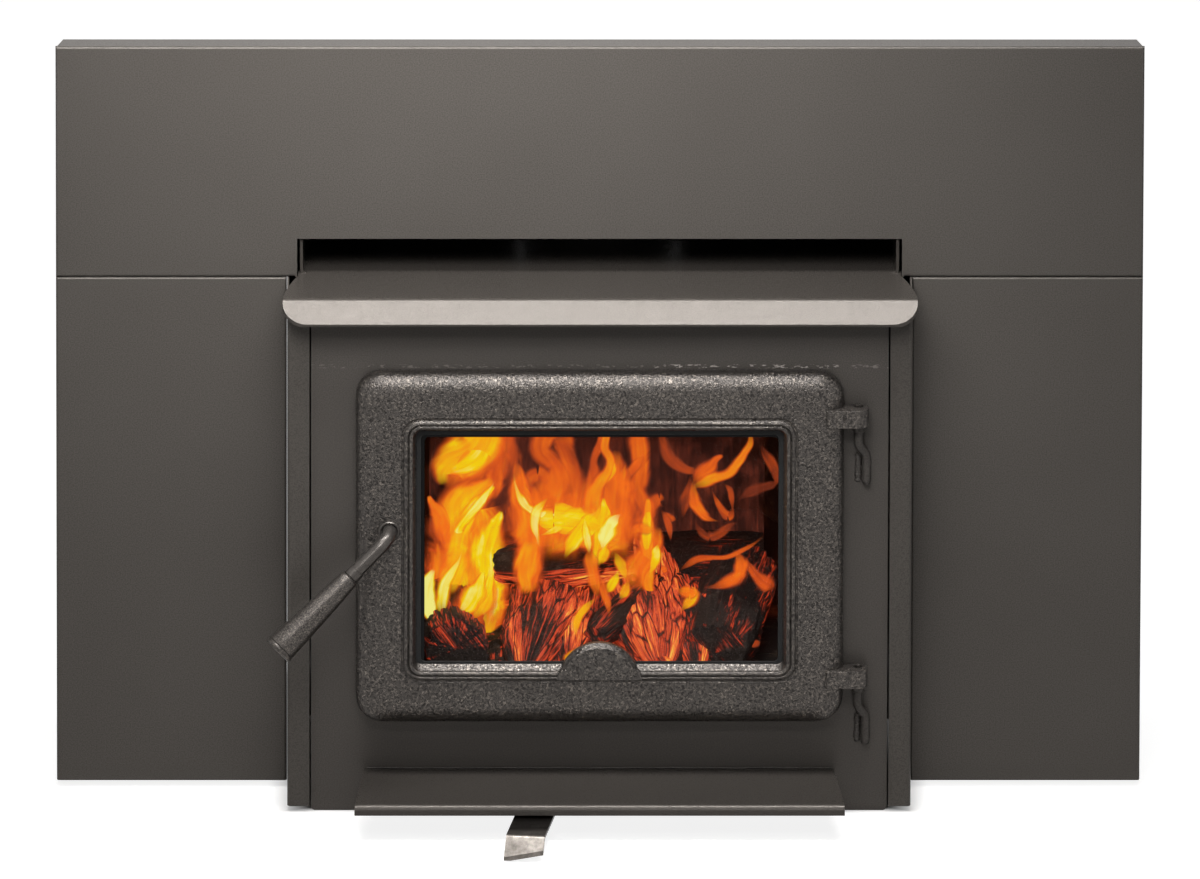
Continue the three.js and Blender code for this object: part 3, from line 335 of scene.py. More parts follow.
paintLook = {
    "base": "4e4a46",
    "dark": "45413d",
    "light": "585450",
    "metallic": 0.17,
    "shine": 0.12,
    "roughness": 0.32,
    "flake": 1.3,
    "relief": 0.05,
}
faceWear = {"z": 479.0, "wide": 2.6, "stretch": (70, 225)}  # scratches on the plate just above the door
faceLook = dict(paintLook, base="4e4a46", dark="46423f", light="56514d", roughness=0.36, wear=faceWear)
# painted shade: the hood and the ash lip carry the same stove paint, coloured darker here for their up-facing
# ledges
shadedLedgeLook = dict(paintLook, base="423e3a", dark="3a3633", light="4a4642", metallic=0.36, roughness=0.3)
pinLook = dict(paintLook, base="46423f", dark="3b3835", light="504c48", roughness=0.4, flake=1.8)
rodLook = dict(paintLook, base="4a4643", dark="413d3a", light="55514d", roughness=0.3, metallic=0.6)
casingLook = dict(paintLook, base="4c4844", dark="44403c", light="55514c")
darkLook = dict(paintLook, base="3d3a37", dark="332f2d", light="474340", metallic=0.3, roughness=0.5)
doorLook = {
    "base": "484441",
    "dark": "2d2a28",
    "light": "6e6760",
    "metallic": 0.6,
    "shine": 0.2,
    "roughness": 0.31,
    "lump": 2.5,
    "flake": 0.9,
    "relief": 0.8,
    "strength": 0.9,
}
gripLook = dict(doorLook, base="494542", lump=1.4, relief=0.22, roughness=0.36, metallic=0.7)

finishes = {
    "stove_paint": sprayedPaint("metallicStovePaint", paintLook),
    "face_paint": sprayedPaint("facePlatePaint", faceLook),
    "ledge_paint": sprayedPaint("ledgePaintShadedDarker", shadedLedgeLook),
    "dark_paint": sprayedPaint("mattBlackStovePaint", darkLook),
    "casing_paint": sprayedPaint("casingPaint", casingLook),
    "door_iron": castIron("paintedCastIron", doorLook),
    "pin_steel": sprayedPaint("paintedHingeSteel", pinLook),
    "handle_steel": sprayedPaint("satinHandleSteel", rodLook),
    "grip_steel": castIron("texturedGripPaint", gripLook),
    "bare_steel": bareSteel(
        "millFinishSteel", {"base": "6d6965", "dark": "504c49", "light": "87827d", "roughness": 0.42}
    ),
    # the lever steel carries painted shade: its strap is near-black from y -214 mm backward, under the ash lip
    "lever_steel": bareSteel(
        "leverSteelShadedUnderLip",
        {"base": "645f5a", "dark": "4b4642", "light": "827c76", "roughness": 0.36, "shadedUnderLip": (-226, -214)},
    ),
    "firebrick": fireBrick("sootedFirebrick"),
    "baffle_board": fibreBoard("ceramicFibreBoard"),
    "gasket": knittedRope("knittedGasketRope", 5.0),
    "tape": wovenTape("wovenGlassTape"),
}
print("finishes:", len(finishes))

# A CAD piece that keeps its own mesh takes its finish in its slots
nodeFinish = {
    "firebox_left": "dark_paint",
    "firebox_right": "dark_paint",
    "firebox_back": "dark_paint",
    "firebox_top": "dark_paint",
    "firebox_floor": "dark_paint",
    "base_pan": "dark_paint",
    "air_channel": "dark_paint",
    "air_lever_pivot": "bare_steel",
    "glass_gasket": "tape",
}
for name, piece in cadNodes.items():
    wanted = nodeFinish.get(name)
    for slot in piece.material_slots:
        key = wanted or slot.material.name.split(".")[0]
        slot.material = finishes.get(key, finishes["dark_paint"])


# making pieces


def finishPiece(piece, body, replaced=(), sharp=32):
    mesh = piece.data
    mesh.shade_smooth()
    mesh.set_sharp_from_angle(angle=math.radians(sharp))
    if piece.name not in bpy.context.scene.collection.objects:
        bpy.context.scene.collection.objects.link(piece)
    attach(piece, body)
    if replaced:
        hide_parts(*replaced)
    return piece


def meshFrom(bm, name, material):
    mesh = bpy.data.meshes.new(name)
    bm.to_mesh(mesh)
    bm.free()
    mesh.materials.append(material)
    return bpy.data.objects.new(name, mesh)


def roundEdges(piece, width, segments=2, angle=35):
    bevel = piece.modifiers.new("edges", "BEVEL")
    bevel.width = width * mm
    bevel.segments = segments
    bevel.limit_method = "ANGLE"
    bevel.angle_limit = math.radians(angle)
    bevel.use_clamp_overlap = True
    bevel.miter_outer = "MITER_ARC"
    weighted = piece.modifiers.new("flats", "WEIGHTED_NORMAL")
    weighted.keep_sharp = True
    return piece


def refined(name, body, finish, width=0.5, segments=2, angle=35):  # a CAD piece with its edges softened
    bm = bmesh.new()
    bm.from_mesh(cadNodes[name].data)
    bmesh.ops.remove_doubles(bm, verts=bm.verts, dist=1e-6)
    bmesh.ops.dissolve_limit(bm, angle_limit=math.radians(0.8), verts=bm.verts, edges=bm.edges)
    piece = meshFrom(bm, name + "_fine", finishes[finish])
    roundEdges(piece, width, segments, angle)
    return finishPiece(piece, body, (name,))


def loft(bm, rings, closedAcross=True):  # rings of equal count, joined in order
    rows = [[bm.verts.new(point) for point in ring] for ring in rings]
    last = len(rows) if closedAcross else len(rows) - 1
    for r in range(last):
        here, beyond = rows[r], rows[(r + 1) % len(rows)]
        for i in range(len(here)):
            j = (i + 1) % len(here)
            bm.faces.new((here[i], here[j], beyond[j], beyond[i]))
    return rows


def fullTurn(sides):
    return [2 * math.pi * k / sides for k in range(sides)]


def tubeAlong(bm, points, radii, sides=24):  # a round section carried along points
    points = [Vector(p) for p in points]
    heading = (points[1] - points[0]).normalized()
    side = heading.orthogonal().normalized()
    rings = []
    for i, point in enumerate(points):
        ahead = points[min(i + 1, len(points) - 1)] - points[max(i - 1, 0)]
        ahead.normalize()
        side = (side - ahead * side.dot(ahead)).normalized()
        other = ahead.cross(side)
        radius = radii[i] if isinstance(radii, (list, tuple)) else radii
        rings.append([point + (side * math.cos(a) + other * math.sin(a)) * radius for a in fullTurn(sides)])
    rows = loft(bm, rings, closedAcross=False)
    bm.faces.new(rows[0])
    bm.faces.new(rows[-1])
    return rows


# a turned profile of (radius, along) in mm, round an axis
def turned(bm, origin, direction, profile, sides=40):
    origin, axis = Vector(origin), Vector(direction).normalized()
    side = axis.orthogonal().normalized()
    other = axis.cross(side)
    rings = []
    for radius, along in profile:
        centre = origin + axis * along * mm
        rings.append(
            [centre + (side * math.cos(a) + other * math.sin(a)) * radius * mm for a in fullTurn(sides)]
        )
    rows = loft(bm, rings, closedAcross=False)
    bm.faces.new(rows[0])
    bm.faces.new(rows[-1])
    return rows


def closeUp(bm):
    bmesh.ops.remove_doubles(bm, verts=bm.verts, dist=1e-7)
    bmesh.ops.recalc_face_normals(bm, faces=bm.faces)


def arc(cx, cz, radius, start, end, steps):
    angles = (math.radians(start + (end - start) * k / steps) for k in range(steps + 1))
    return [(cx + radius * math.cos(a), cz + radius * math.sin(a)) for a in angles]


# Geometry Nodes: what repeats


def newTree(name, sizes):
    tree = bpy.data.node_groups.new(name, "GeometryNodeTree")
    tree.interface.new_socket("Geometry", in_out="OUTPUT", socket_type="NodeSocketGeometry")
    for label, value in sizes.items():
        kind = "NodeSocketInt" if isinstance(value, int) else "NodeSocketFloat"
        if isinstance(value, (tuple, list)):
            kind = "NodeSocketVector"
        socket = tree.interface.new_socket(label, in_out="INPUT", socket_type=kind)
        socket.default_value = value
    source = tree.nodes.new("NodeGroupInput")
    sink = tree.nodes.new("NodeGroupOutput")
    return tree, source, sink


def endTree(tree, geometry, material, sink):  # every tree ends as real geometry with its finish
    real = addNode(tree, "GeometryNodeRealizeInstances", {"Geometry": geometry})
    coated = addNode(tree, "GeometryNodeSetMaterial", {"Geometry": real.outputs[0], "Material": material})
    tree.links.new(coated.outputs[0], sink.inputs[0])


def grow(name, tree, **sizes):  # runs a tree once with these sizes and keeps the plain mesh
    holder = bpy.data.objects.new(name + "Holder", bpy.data.meshes.new(name + "Holder"))
    bpy.context.scene.collection.objects.link(holder)
    modifier = holder.modifiers.new("nodes", "NODES")
    modifier.node_group = tree
    labels = {item.name: item.identifier for item in tree.interface.items_tree if item.in_out == "INPUT"}
    for label, value in sizes.items():
        modifier[labels[label]] = value
    grown = holder.evaluated_get(bpy.context.evaluated_depsgraph_get())
    mesh = bpy.data.meshes.new_from_object(grown)
    bpy.data.objects.remove(holder)
    mesh.name = name
    return bpy.data.objects.new(name, mesh)


def weldTree():  # overlapping puddles of weld metal along a straight run
    sizes = {"Start": (0.0, 0.0, 0.0), "End": (0.0, 0.0, 0.03), "Puddles": 9, "Width": 0.007, "Seed": 3}
    tree, source, sink = newTree("weldRun", sizes)
    line = addNode(
        tree,
        "GeometryNodeMeshLine",
        {"Count": source.outputs["Puddles"], "Start Location": source.outputs["Start"]},
        mode="END_POINTS",
    )
    tree.links.new(source.outputs["End"], line.inputs["Offset"])
    puddle = addNode(tree, "GeometryNodeMeshUVSphere", {"Segments": 16, "Rings": 10, "Radius": 0.5})
    wobble = addNode(
        tree, "FunctionNodeRandomValue", {"Seed": source.outputs["Seed"]}, data_type="FLOAT_VECTOR"
    )
    wobble.inputs[0].default_value = (0.8, 0.5, 0.55)
    wobble.inputs[1].default_value = (1.15, 0.72, 0.8)
    size = addNode(tree, "ShaderNodeVectorMath", {0: wobble.outputs[0]}, operation="SCALE")
    tree.links.new(source.outputs["Width"], size.inputs["Scale"])
    copies = addNode(
        tree,
        "GeometryNodeInstanceOnPoints",
        {
            "Points": line.outputs[0],
            "Instance": puddle.outputs[0],
            "Rotation": (math.radians(24), 0.0, 0.0),
            "Scale": size.outputs[0],
        },
    )
    endTree(tree, copies.outputs[0], finishes["pin_steel"], sink)
    return tree


def screwTree():  # pan-head screws in a row: a domed head with a hexagon recess
    sizes = {
        "Start": (0.0, 0.0, 0.0), "End": (1.0, 0.0, 0.0), "Count": 5, "Head": 0.008, "Tilt": (0.0, 0.0, 0.0)
    }
    tree, source, sink = newTree("screwRow", sizes)
    line = addNode(
        tree,
        "GeometryNodeMeshLine",
        {"Count": source.outputs["Count"], "Start Location": source.outputs["Start"]},
        mode="END_POINTS",
    )
    tree.links.new(source.outputs["End"], line.inputs["Offset"])
    dome = addNode(tree, "GeometryNodeMeshUVSphere", {"Segments": 18, "Rings": 10, "Radius": 0.5})
    low = addNode(tree, "GeometryNodeTransform", {"Geometry": dome.outputs[0], "Scale": (1.0, 1.0, 0.62)})
    socket = addNode(
        tree, "GeometryNodeMeshCone", {"Vertices": 6, "Radius Top": 0.2, "Radius Bottom": 0.2, "Depth": 0.3}
    )
    lifted = addNode(
        tree, "GeometryNodeTransform", {"Geometry": socket.outputs[0], "Translation": (0.0, 0.0, 0.16)}
    )
    head = addNode(
        tree,
        "GeometryNodeMeshBoolean",
        {"Mesh 1": low.outputs[0], "Mesh 2": lifted.outputs[0]},
        operation="DIFFERENCE",
    )
    half = addNode(tree, "GeometryNodeMeshCube", {"Size": (1.4, 1.4, 1.0)})
    sunk = addNode(
        tree, "GeometryNodeTransform", {"Geometry": half.outputs[0], "Translation": (0.0, 0.0, -0.55)}
    )
    shell = addNode(
        tree,
        "GeometryNodeMeshBoolean",
        {"Mesh 1": head.outputs[0], "Mesh 2": sunk.outputs[0]},
        operation="DIFFERENCE",
    )
    copies = addNode(
        tree,
        "GeometryNodeInstanceOnPoints",
        {
            "Points": line.outputs[0],
            "Instance": shell.outputs[0],
            "Rotation": source.outputs["Tilt"],
            "Scale": source.outputs["Head"],
        },
    )
    endTree(tree, copies.outputs[0], finishes["bare_steel"], sink)
    return tree


weldRun = weldTree()
screwRow = screwTree()
print("node trees: weld run, screw row")

# surround, hood, face plate, casing

for name in cadNodes:
    if name.startswith("surround"):
        refined(name, "body", "stove_paint", 0.45)
# the hood takes the paint coloured darker as painted shade
refined("hood", "body", "ledge_paint", 0.7, 3)
refined("face_plate", "body", "face_paint", 0.8, 3)
for name in ("casing_left", "casing_right", "casing_back", "casing_top", "flue_collar"):
    refined(name, "body", "casing_paint", 0.4)
refined("air_lever", "lever", "lever_steel", 0.6, 2)

ashLip = {
    "back": -79.8,
    "top": 44.9,
    "rear": 12.0,  # how far the rear leg hangs down against the face plate
    "front": -178.0,
    "fall": 9.0,
    "flange": 9.0,
    "lean": 1.5,
    "sheet": 3.0,
    "bends": (4.0, 7.0),  # middle radius of the rear bend and of the front bend
    "halfBack": 242.0,
    "halfFront": 252.5,
}


def roundedLine(corners, radii, steps=9):  # a bent line of (y, z) with an arc at each inner corner
    points = [Vector(corners[0])]
    for i, radius in enumerate(radii, 1):
        before, corner, after = Vector(corners[i - 1]), Vector(corners[i]), Vector(corners[i + 1])
        inward, onward = (before - corner).normalized(), (after - corner).normalized()
        half = inward.angle(onward) / 2
        reach = radius / math.tan(half)
        first, last = corner + inward * reach, corner + onward * reach
        centre = corner + (inward + onward).normalized() * (radius / math.sin(half))
        for k in range(steps + 1):
            spoke = (first - centre).lerp(last - centre, k / steps).normalized() * radius
            points.append(centre + spoke)
    points.append(Vector(corners[-1]))
    return points


def makeAshLip():
    look = ashLip
    low = look["top"] - look["fall"]
    corners = [(look["back"], look["top"] - look["rear"]), (look["back"], look["top"])]
    corners += [(look["front"], low), (look["front"] - look["lean"], low - look["flange"])]
    middle = roundedLine(corners, look["bends"])
    outer, inner = [], []
    for i, point in enumerate(middle):
        ahead = (middle[min(i + 1, len(middle) - 1)] - middle[max(i - 1, 0)]).normalized()
        off = Vector((-ahead.y, ahead.x)) * look["sheet"] / 2
        outer.append(point - off)
        inner.append(point + off)
    section = outer + inner[::-1]
    bm = bmesh.new()
    ends = [[bm.verts.new((x, y * mm, z * mm)) for y, z in section] for x in (-0.26, 0.26)]
    bm.faces.new(ends[0])
    bm.faces.new(ends[1])
    for i in range(len(section)):
        j = (i + 1) % len(section)
        bm.faces.new((ends[0][i], ends[0][j], ends[1][j], ends[1][i]))
    for side in (-1, 1):
        back = Vector((side * look["halfBack"], -78, 0)) * mm
        front = Vector((side * look["halfFront"], -184, 0)) * mm
        cut = (front - back).cross(Vector((0, 0, 1))).normalized()
        if cut.x * side < 0:
            cut = -cut
        everything = bm.verts[:] + bm.edges[:] + bm.faces[:]
        made = bmesh.ops.bisect_plane(bm, geom=everything, plane_co=back, plane_no=cut, clear_outer=True)
        rim = [e for e in made["geom_cut"] if isinstance(e, bmesh.types.BMEdge)]
        bmesh.ops.edgeloop_fill(bm, edges=rim)
    closeUp(bm)
    # the lip takes the paint coloured darker as painted shade
    piece = meshFrom(bm, "ash_lip_fine", finishes["ledge_paint"])
    roundEdges(piece, 0.5, 2, 50)
    return finishPiece(piece, "body", ("ash_lip",), 32)


def makeSealBead():  # the thin uneven bead of sealant where the lip meets the face plate
    half = ashLip["halfBack"] * mm - 0.003
    steps = 220
    points, radii = [], []
    for k in range(steps + 1):
        x = -half + 2 * half * k / steps
        lump = noise.noise(Vector((x / 0.009, 4.0, 0.0)))
        wave = noise.noise(Vector((x / 0.03, 9.0, 0.0)))
        points.append((x, -0.0792 - 0.0003 * wave, 0.0460 + 0.0006 * wave))
        radii.append((1.15 + 0.35 * lump) * mm)
    bm = bmesh.new()
    tubeAlong(bm, points, radii, 12)
    closeUp(bm)
    return finishPiece(meshFrom(bm, "lip_seal_bead", finishes["dark_paint"]), "body", (), 60)


makeAshLip()
makeSealBead()
print("sheet metal: surround, hood, face plate, lip, casing, lever")

# lining

for name in cadNodes:
    if name.startswith("brick"):
        refined(name, "body", "firebrick", 1.4, 3, 50)
    elif name.startswith("baffle_board"):
        refined(name, "body", "baffle_board", 2.0, 3, 50)
print("lining: bricks and boards")

# door

door = {
    "width": 501,
    "bottom": 100,
    "height": 378,
    "corner": 28,
    "front": 105,
    "back": 82,
    "web": 89,  # back of the casting between its two rear ribs
    "pillow": 17,
    "pillowWide": 21,  # the rounded edge reaches further across the face than it is deep
    "beadInset": 48.9,
    "beadWidth": 10.2,
    "beadHeight": 3.4,
    "beadGroove": 1.9,
    "cove": 0.9,  # the shallow groove that runs just outside the bead
    "coveWidth": 2.6,
    "glassSeat": 97,
    "bossRadius": 38,
    "bossMiddle": 147.1,
    "lugs": (421.6, 141.0),
    "lugHeight": 18.4,
    "lugEnd": 276.0,
    "rodHole": 7.9,
    "pinHole": 5.05,
}
middleZ = door["bottom"] + door["height"] / 2
windowInset = door["beadInset"] + door["beadWidth"]


def doorRing(inset, front, corner, steps=14, sill=0.0):  # sill lifts the lower side alone
    halfX = door["width"] / 2 - inset
    halfZ = door["height"] / 2 - inset
    points = []
    for signX, signZ, start in ((1, 1, 0), (-1, 1, 90), (-1, -1, 180), (1, -1, 270)):
        for x, z in arc(signX * (halfX - corner), signZ * (halfZ - corner), corner, start, start + 90, steps):
            z += sill * max(0.0, (corner - halfZ - z) / corner)
            points.append(Vector((x * mm, -front * mm, (middleZ + z) * mm)))
    return points


def beadProfile(t):  # height of the double bead across its width, from 0 to 1
    hump = math.sin(math.pi * t) ** 0.42 if 0 < t < 1 else 0.0
    return door["beadHeight"] * hump - door["beadGroove"] * math.exp(-(((t - 0.5) * 11) ** 2))


def doorSection():  # (inset, front, corner) from the outer edge over the front and back along the inside
    pillow, wide, front = door["pillow"], door["pillowWide"], door["front"]
    section = []
    for k in range(21):
        angle = math.pi / 2 * k / 20
        inset = wide * (1 - math.cos(angle))
        section.append((inset, front - pillow * (1 - math.sin(angle)), door["corner"] - inset * 0.8))
    bead, wide, cove = door["beadInset"], door["beadWidth"], door["cove"]
    for k in range(7):
        t = k / 6
        section.append(
            (bead - door["coveWidth"] * (1 - t), front - cove * math.sin(math.pi * t * 0.62), 20.2 - 2.2 * t)
        )
    for k in range(1, 33):
        t = k / 32
        section.append((bead + wide * t, front + beadProfile(t), 18 - 9 * t))
    section += [(windowInset + 0.3, front - 0.8, 8.6), (windowInset + 1.0, front - 1.7, 8.0, 14, 0.2)]
    section += [
        (windowInset + 2.4, front - 5.9, 6.6, 14, 2.4), (windowInset + 2.9, front - 6.8, 6.2, 14, 2.6)
    ]
    section += [(windowInset + 3, door["glassSeat"], 6, 14, 2.6)]
    back, web, seat = door["back"], door["web"], door["glassSeat"]
    section += [
        (46, seat, 9), (46, web, 9), (32, web, 12), (32, back, 12), (23.5, back, 8.5), (23.5, web, 8.5)
    ]
    section += [(12.5, web, 19.5), (12.5, back, 19.5), (3, back, 25)]
    for k in range(1, 5):  # the rounded rear edge
        angle = math.pi / 8 * k
        rest = 3 * math.cos(angle)
        section.append((3 - 3 * math.sin(angle), back + 3 - rest, door["corner"] - rest))
    return section


def punch(piece, spots):  # cuts round holes: (centre, direction, radius in mm, length in mm)
    for centre, direction, radius, length in spots:
        bm = bmesh.new()
        turned(
            bm,
            Vector(centre) - Vector(direction).normalized() * length * mm / 2,
            direction,
            ((radius, 0), (radius, length)),
            32,
        )
        closeUp(bm)
        tool = meshFrom(bm, "tool", finishes["door_iron"])
        bpy.context.scene.collection.objects.link(tool)
        cut = piece.modifiers.new("hole", "BOOLEAN")
        cut.operation = "DIFFERENCE"
        cut.solver = "EXACT"
        cut.object = tool
        evaluated = piece.evaluated_get(bpy.context.evaluated_depsgraph_get())
        mesh = bpy.data.meshes.new_from_object(evaluated)
        piece.modifiers.clear()
        piece.data = mesh
        bpy.data.objects.remove(tool)


def linked(piece):
    bpy.context.scene.collection.objects.link(piece)
    return piece


def plainMesh(piece):  # the mesh with its modifiers worked in
    evaluated = piece.evaluated_get(bpy.context.evaluated_depsgraph_get())
    mesh = bpy.data.meshes.new_from_object(evaluated)
    bpy.data.objects.remove(piece)
    return mesh


def makeDoor():
    bm = bmesh.new()
    loft(bm, [doorRing(*station) for station in doorSection()])
    closeUp(bm)
    panel = linked(meshFrom(bm, "doorPanel", finishes["door_iron"]))
    punch(panel, [((-0.216, -0.095, 0.310), (0, -1, 0), door["rodHole"], 60)])
    parts = [panel]

    # the boss under the glass: an arch as high as the bead, whose upper rim slopes back like the sill
    low = door["bottom"] + door["beadInset"]
    proud = door["front"] + door["beadHeight"]
    rings = []
    for front, outBy in (
        (proud, -1.2),
        (proud - 0.35, -0.3),
        (proud - 1.1, 0.2),
        (proud - 5.2, 3.4),
        (proud - 6.0, 3.8),
        (door["glassSeat"], 3.8),
    ):
        radius = door["bossRadius"] + outBy
        side = door["bossRadius"] + min(0.0, outBy)
        start = math.asin(0.36)
        outline = [
            (-side - 6.4, low + 1.5),
            (side + 6.4, low + 1.5),
            (side + 4.6, low + 9.5),
            (side + 0.6 + max(0.0, outBy) * 0.5, low + 12),
        ]
        outline += arc(0, door["bossMiddle"], radius, math.degrees(start), 180 - math.degrees(start), 48)
        outline += [(-side - 0.6 - max(0.0, outBy) * 0.5, low + 12), (-side - 4.6, low + 9.5)]
        rings.append([(x * mm, -front * mm, z * mm) for x, z in outline])
    bm = bmesh.new()
    rows = loft(bm, rings, closedAcross=False)
    bm.faces.new(rows[0])
    bm.faces.new(rows[-1])
    closeUp(bm)
    parts.append(linked(meshFrom(bm, "doorBoss", finishes["door_iron"])))

    # hinge lugs: rounded blocks that stand off the pillow and wrap the pin
    lugX = door["lugEnd"]
    for base in door["lugs"]:
        plan = [(lugX - 43, -91), (lugX - 43, -107.4), (lugX - 41.4, -109)]
        plan += [(x, y) for x, y in arc(lugX - 11, -98, 11, -90, 0, 12)]
        plan += [(x, y) for x, y in arc(lugX - 9, -90, 9, 0, 90, 12)]
        plan += [(lugX - 14, -81.2), (246.5, -86), (246.5, -91)]
        bm = bmesh.new()
        lower = [bm.verts.new((x * mm, y * mm, base * mm)) for x, y in plan]
        upper = [bm.verts.new((x * mm, y * mm, (base + door["lugHeight"]) * mm)) for x, y in plan]
        bm.faces.new(lower)
        bm.faces.new(upper)
        for i in range(len(plan)):
            j = (i + 1) % len(plan)
            bm.faces.new((lower[i], lower[j], upper[j], upper[i]))
        closeUp(bm)
        lug = linked(meshFrom(bm, "doorLug", finishes["door_iron"]))
        punch(lug, [((0.266, -0.090, (base + 9) * mm), (0, 0, 1), door["pinHole"], 40)])
        parts.append(roundEdges(lug, 1.7, 4, 40))

    bm = bmesh.new()
    turned(bm, (-0.216, -0.0815, 0.310), (0, -1, 0), ((11.0, 0.6), (11.0, 9.6)), 40)
    closeUp(bm)
    hub = linked(meshFrom(bm, "rodHub", finishes["door_iron"]))
    punch(hub, [((-0.216, -0.086, 0.310), (0, -1, 0), door["rodHole"], 60)])
    parts.append(roundEdges(hub, 0.8, 2, 40))

    bm = bmesh.new()
    for part in parts:
        mesh = plainMesh(part)
        bm.from_mesh(mesh)
    bmesh.ops.recalc_face_normals(bm, faces=bm.faces)
    piece = meshFrom(bm, "door_casting_fine", finishes["door_iron"])
    weighted = piece.modifiers.new("flats", "WEIGHTED_NORMAL")
    weighted.keep_sharp = True
    return finishPiece(piece, "door", ("door_casting",), 38)


makeDoor()


rope = {"inset": 18, "radius": 5.2, "back": 78.3, "corner": 14, "sides": 20}


def makeGasket():
    bm = bmesh.new()
    inset, radius, sides = rope["inset"], rope["radius"], rope["sides"]
    middle = rope["back"] + radius
    rings = []
    for k in range(sides):
        angle = 2 * math.pi * k / sides
        shift = inset + radius * math.cos(angle)
        rings.append(doorRing(shift, middle + radius * math.sin(angle), rope["corner"] + inset - shift, 16))
    rows = loft(bm, rings)
    uv = bm.loops.layers.uv.new("along")
    lengths = [0.0]
    core = doorRing(inset, middle, rope["corner"], 16)
    for i in range(len(core)):
        lengths.append(lengths[-1] + (core[(i + 1) % len(core)] - core[i]).length)
    spot = {vert: (i, r) for r, row in enumerate(rows) for i, vert in enumerate(row)}
    for face in bm.faces:
        places = [spot[loop.vert] for loop in face.loops]
        wrapsAlong = max(p[0] for p in places) - min(p[0] for p in places) > 1
        wrapsRound = max(p[1] for p in places) - min(p[1] for p in places) > 1
        for loop, (i, r) in zip(face.loops, places):
            u = lengths[-1] if wrapsAlong and i == 0 else lengths[i]
            v = 1.0 if wrapsRound and r == 0 else r / sides
            loop[uv].uv = (u, v)
    bmesh.ops.recalc_face_normals(bm, faces=bm.faces)
    piece = meshFrom(bm, "door_gasket_fine", finishes["gasket"])
    return finishPiece(piece, "door", ("door_gasket",), 60)


makeGasket()
for name in ("glass_retainer_top", "glass_retainer_bottom"):
    refined(name, "door", "bare_steel", 0.5)
retainerScrews = {"reach": 0.190, "front": -0.0857, "rows": (0.428, 0.150), "count": 5, "head": 0.0085}


def makeRetainerScrews():
    bm = bmesh.new()
    look = retainerScrews
    for z in look["rows"]:
        row = grow(
            "screws",
            screwRow,
            Start=(-look["reach"], look["front"], z),
            End=(look["reach"], look["front"], z),
            Count=look["count"],
            Head=look["head"],
            Tilt=(math.radians(-90), 0.0, 0.0),
        )
        bm.from_mesh(row.data)
    finishPiece(meshFrom(bm, "retainer_screws", finishes["bare_steel"]), "door")


makeRetainerScrews()
print("door: casting, bead, boss, lugs, gasket, retainers")

# glass

pane = {
    "left": -180.0,
    "right": 183.6,
    "low": 158.4,
    "high": 408.0,
    "corner": 5.0,
    "clear": 0.06,  # how much of the clear part reflects as a surface
}


def ceramicGlass():  # clear ceramic glass with a black printed border; smoky in a thin veil
    material, tree, shader, place = startMaterial("ceramicGlass", Roughness=0.06)
    shader.inputs["Specular IOR Level"].default_value = 0.1
    shader.inputs["Base Color"].default_value = linear("060606")
    half = ((pane["right"] - pane["left"]) / 2, 50.0, (pane["high"] - pane["low"]) / 2)
    centre = ((pane["right"] + pane["left"]) / 2, -92.0, (pane["high"] + pane["low"]) / 2)
    shifted = addNode(
        tree, "ShaderNodeVectorMath", {0: place, 1: tuple(c * mm for c in centre)}, operation="SUBTRACT"
    )
    sized = addNode(tree, "ShaderNodeVectorMath", {0: shifted.outputs[0]}, operation="ABSOLUTE")
    inner = tuple((h - pane["corner"]) * mm for h in half)
    beyond = addNode(tree, "ShaderNodeVectorMath", {0: sized.outputs[0], 1: inner}, operation="SUBTRACT")
    outside = addNode(
        tree, "ShaderNodeVectorMath", {0: beyond.outputs[0], 1: (0.0, 0.0, 0.0)}, operation="MAXIMUM"
    )
    far = addNode(tree, "ShaderNodeVectorMath", {0: outside.outputs[0]}, operation="LENGTH")
    corner = pane["corner"] * mm
    printed = stretch(tree, far.outputs["Value"], corner - 0.0003, corner + 0.0003)
    cover = calc(tree, "MAXIMUM", printed, pane["clear"])
    clear = addNode(tree, "ShaderNodeBsdfTransparent", {"Color": (0.97, 0.96, 0.95, 1.0)})
    mixed = addNode(tree, "ShaderNodeMixShader", {0: cover, 1: clear.outputs[0], 2: shader.outputs[0]})
    tree.links.new(mixed.outputs[0], tree.nodes["Material Output"].inputs["Surface"])
    return material


finishes["door_glass"] = ceramicGlass()
refined("door_glass", "door", "door_glass", 0.6)
print("glass")

# hinge pins and their welds

pins = {
    "x": 266.0,
    "front": 90.0,
    "diameter": 9.5,
    "joggle": 8.0,  # how far the foot lies outward of the pin
    "foot": 83.05,
    "collar": 13.0,
    "collarHeight": 8.5,
    "weldFront": -0.0788,
    "weldWidth": 0.0078,
    "weldPuddles": 11,
    "weldSeed": {"upper": 3, "lower": 8},
}


def smoothPath(corners, steps=10):  # points on a line that eases through its corners
    points = []
    corners = [Vector(c) for c in corners]
    for i in range(len(corners) - 1):
        a, b = corners[i], corners[i + 1]
        before = corners[i - 1] if i else a
        after = corners[i + 2] if i + 2 < len(corners) else b
        for k in range(steps):
            t = k / steps
            square = 2 * before - 5 * a + 4 * b - after
            cube = 3 * a - before - 3 * b + after
            points.append(0.5 * (2 * a + (b - before) * t + square * t * t + cube * t * t * t))
    points.append(corners[-1])
    return points


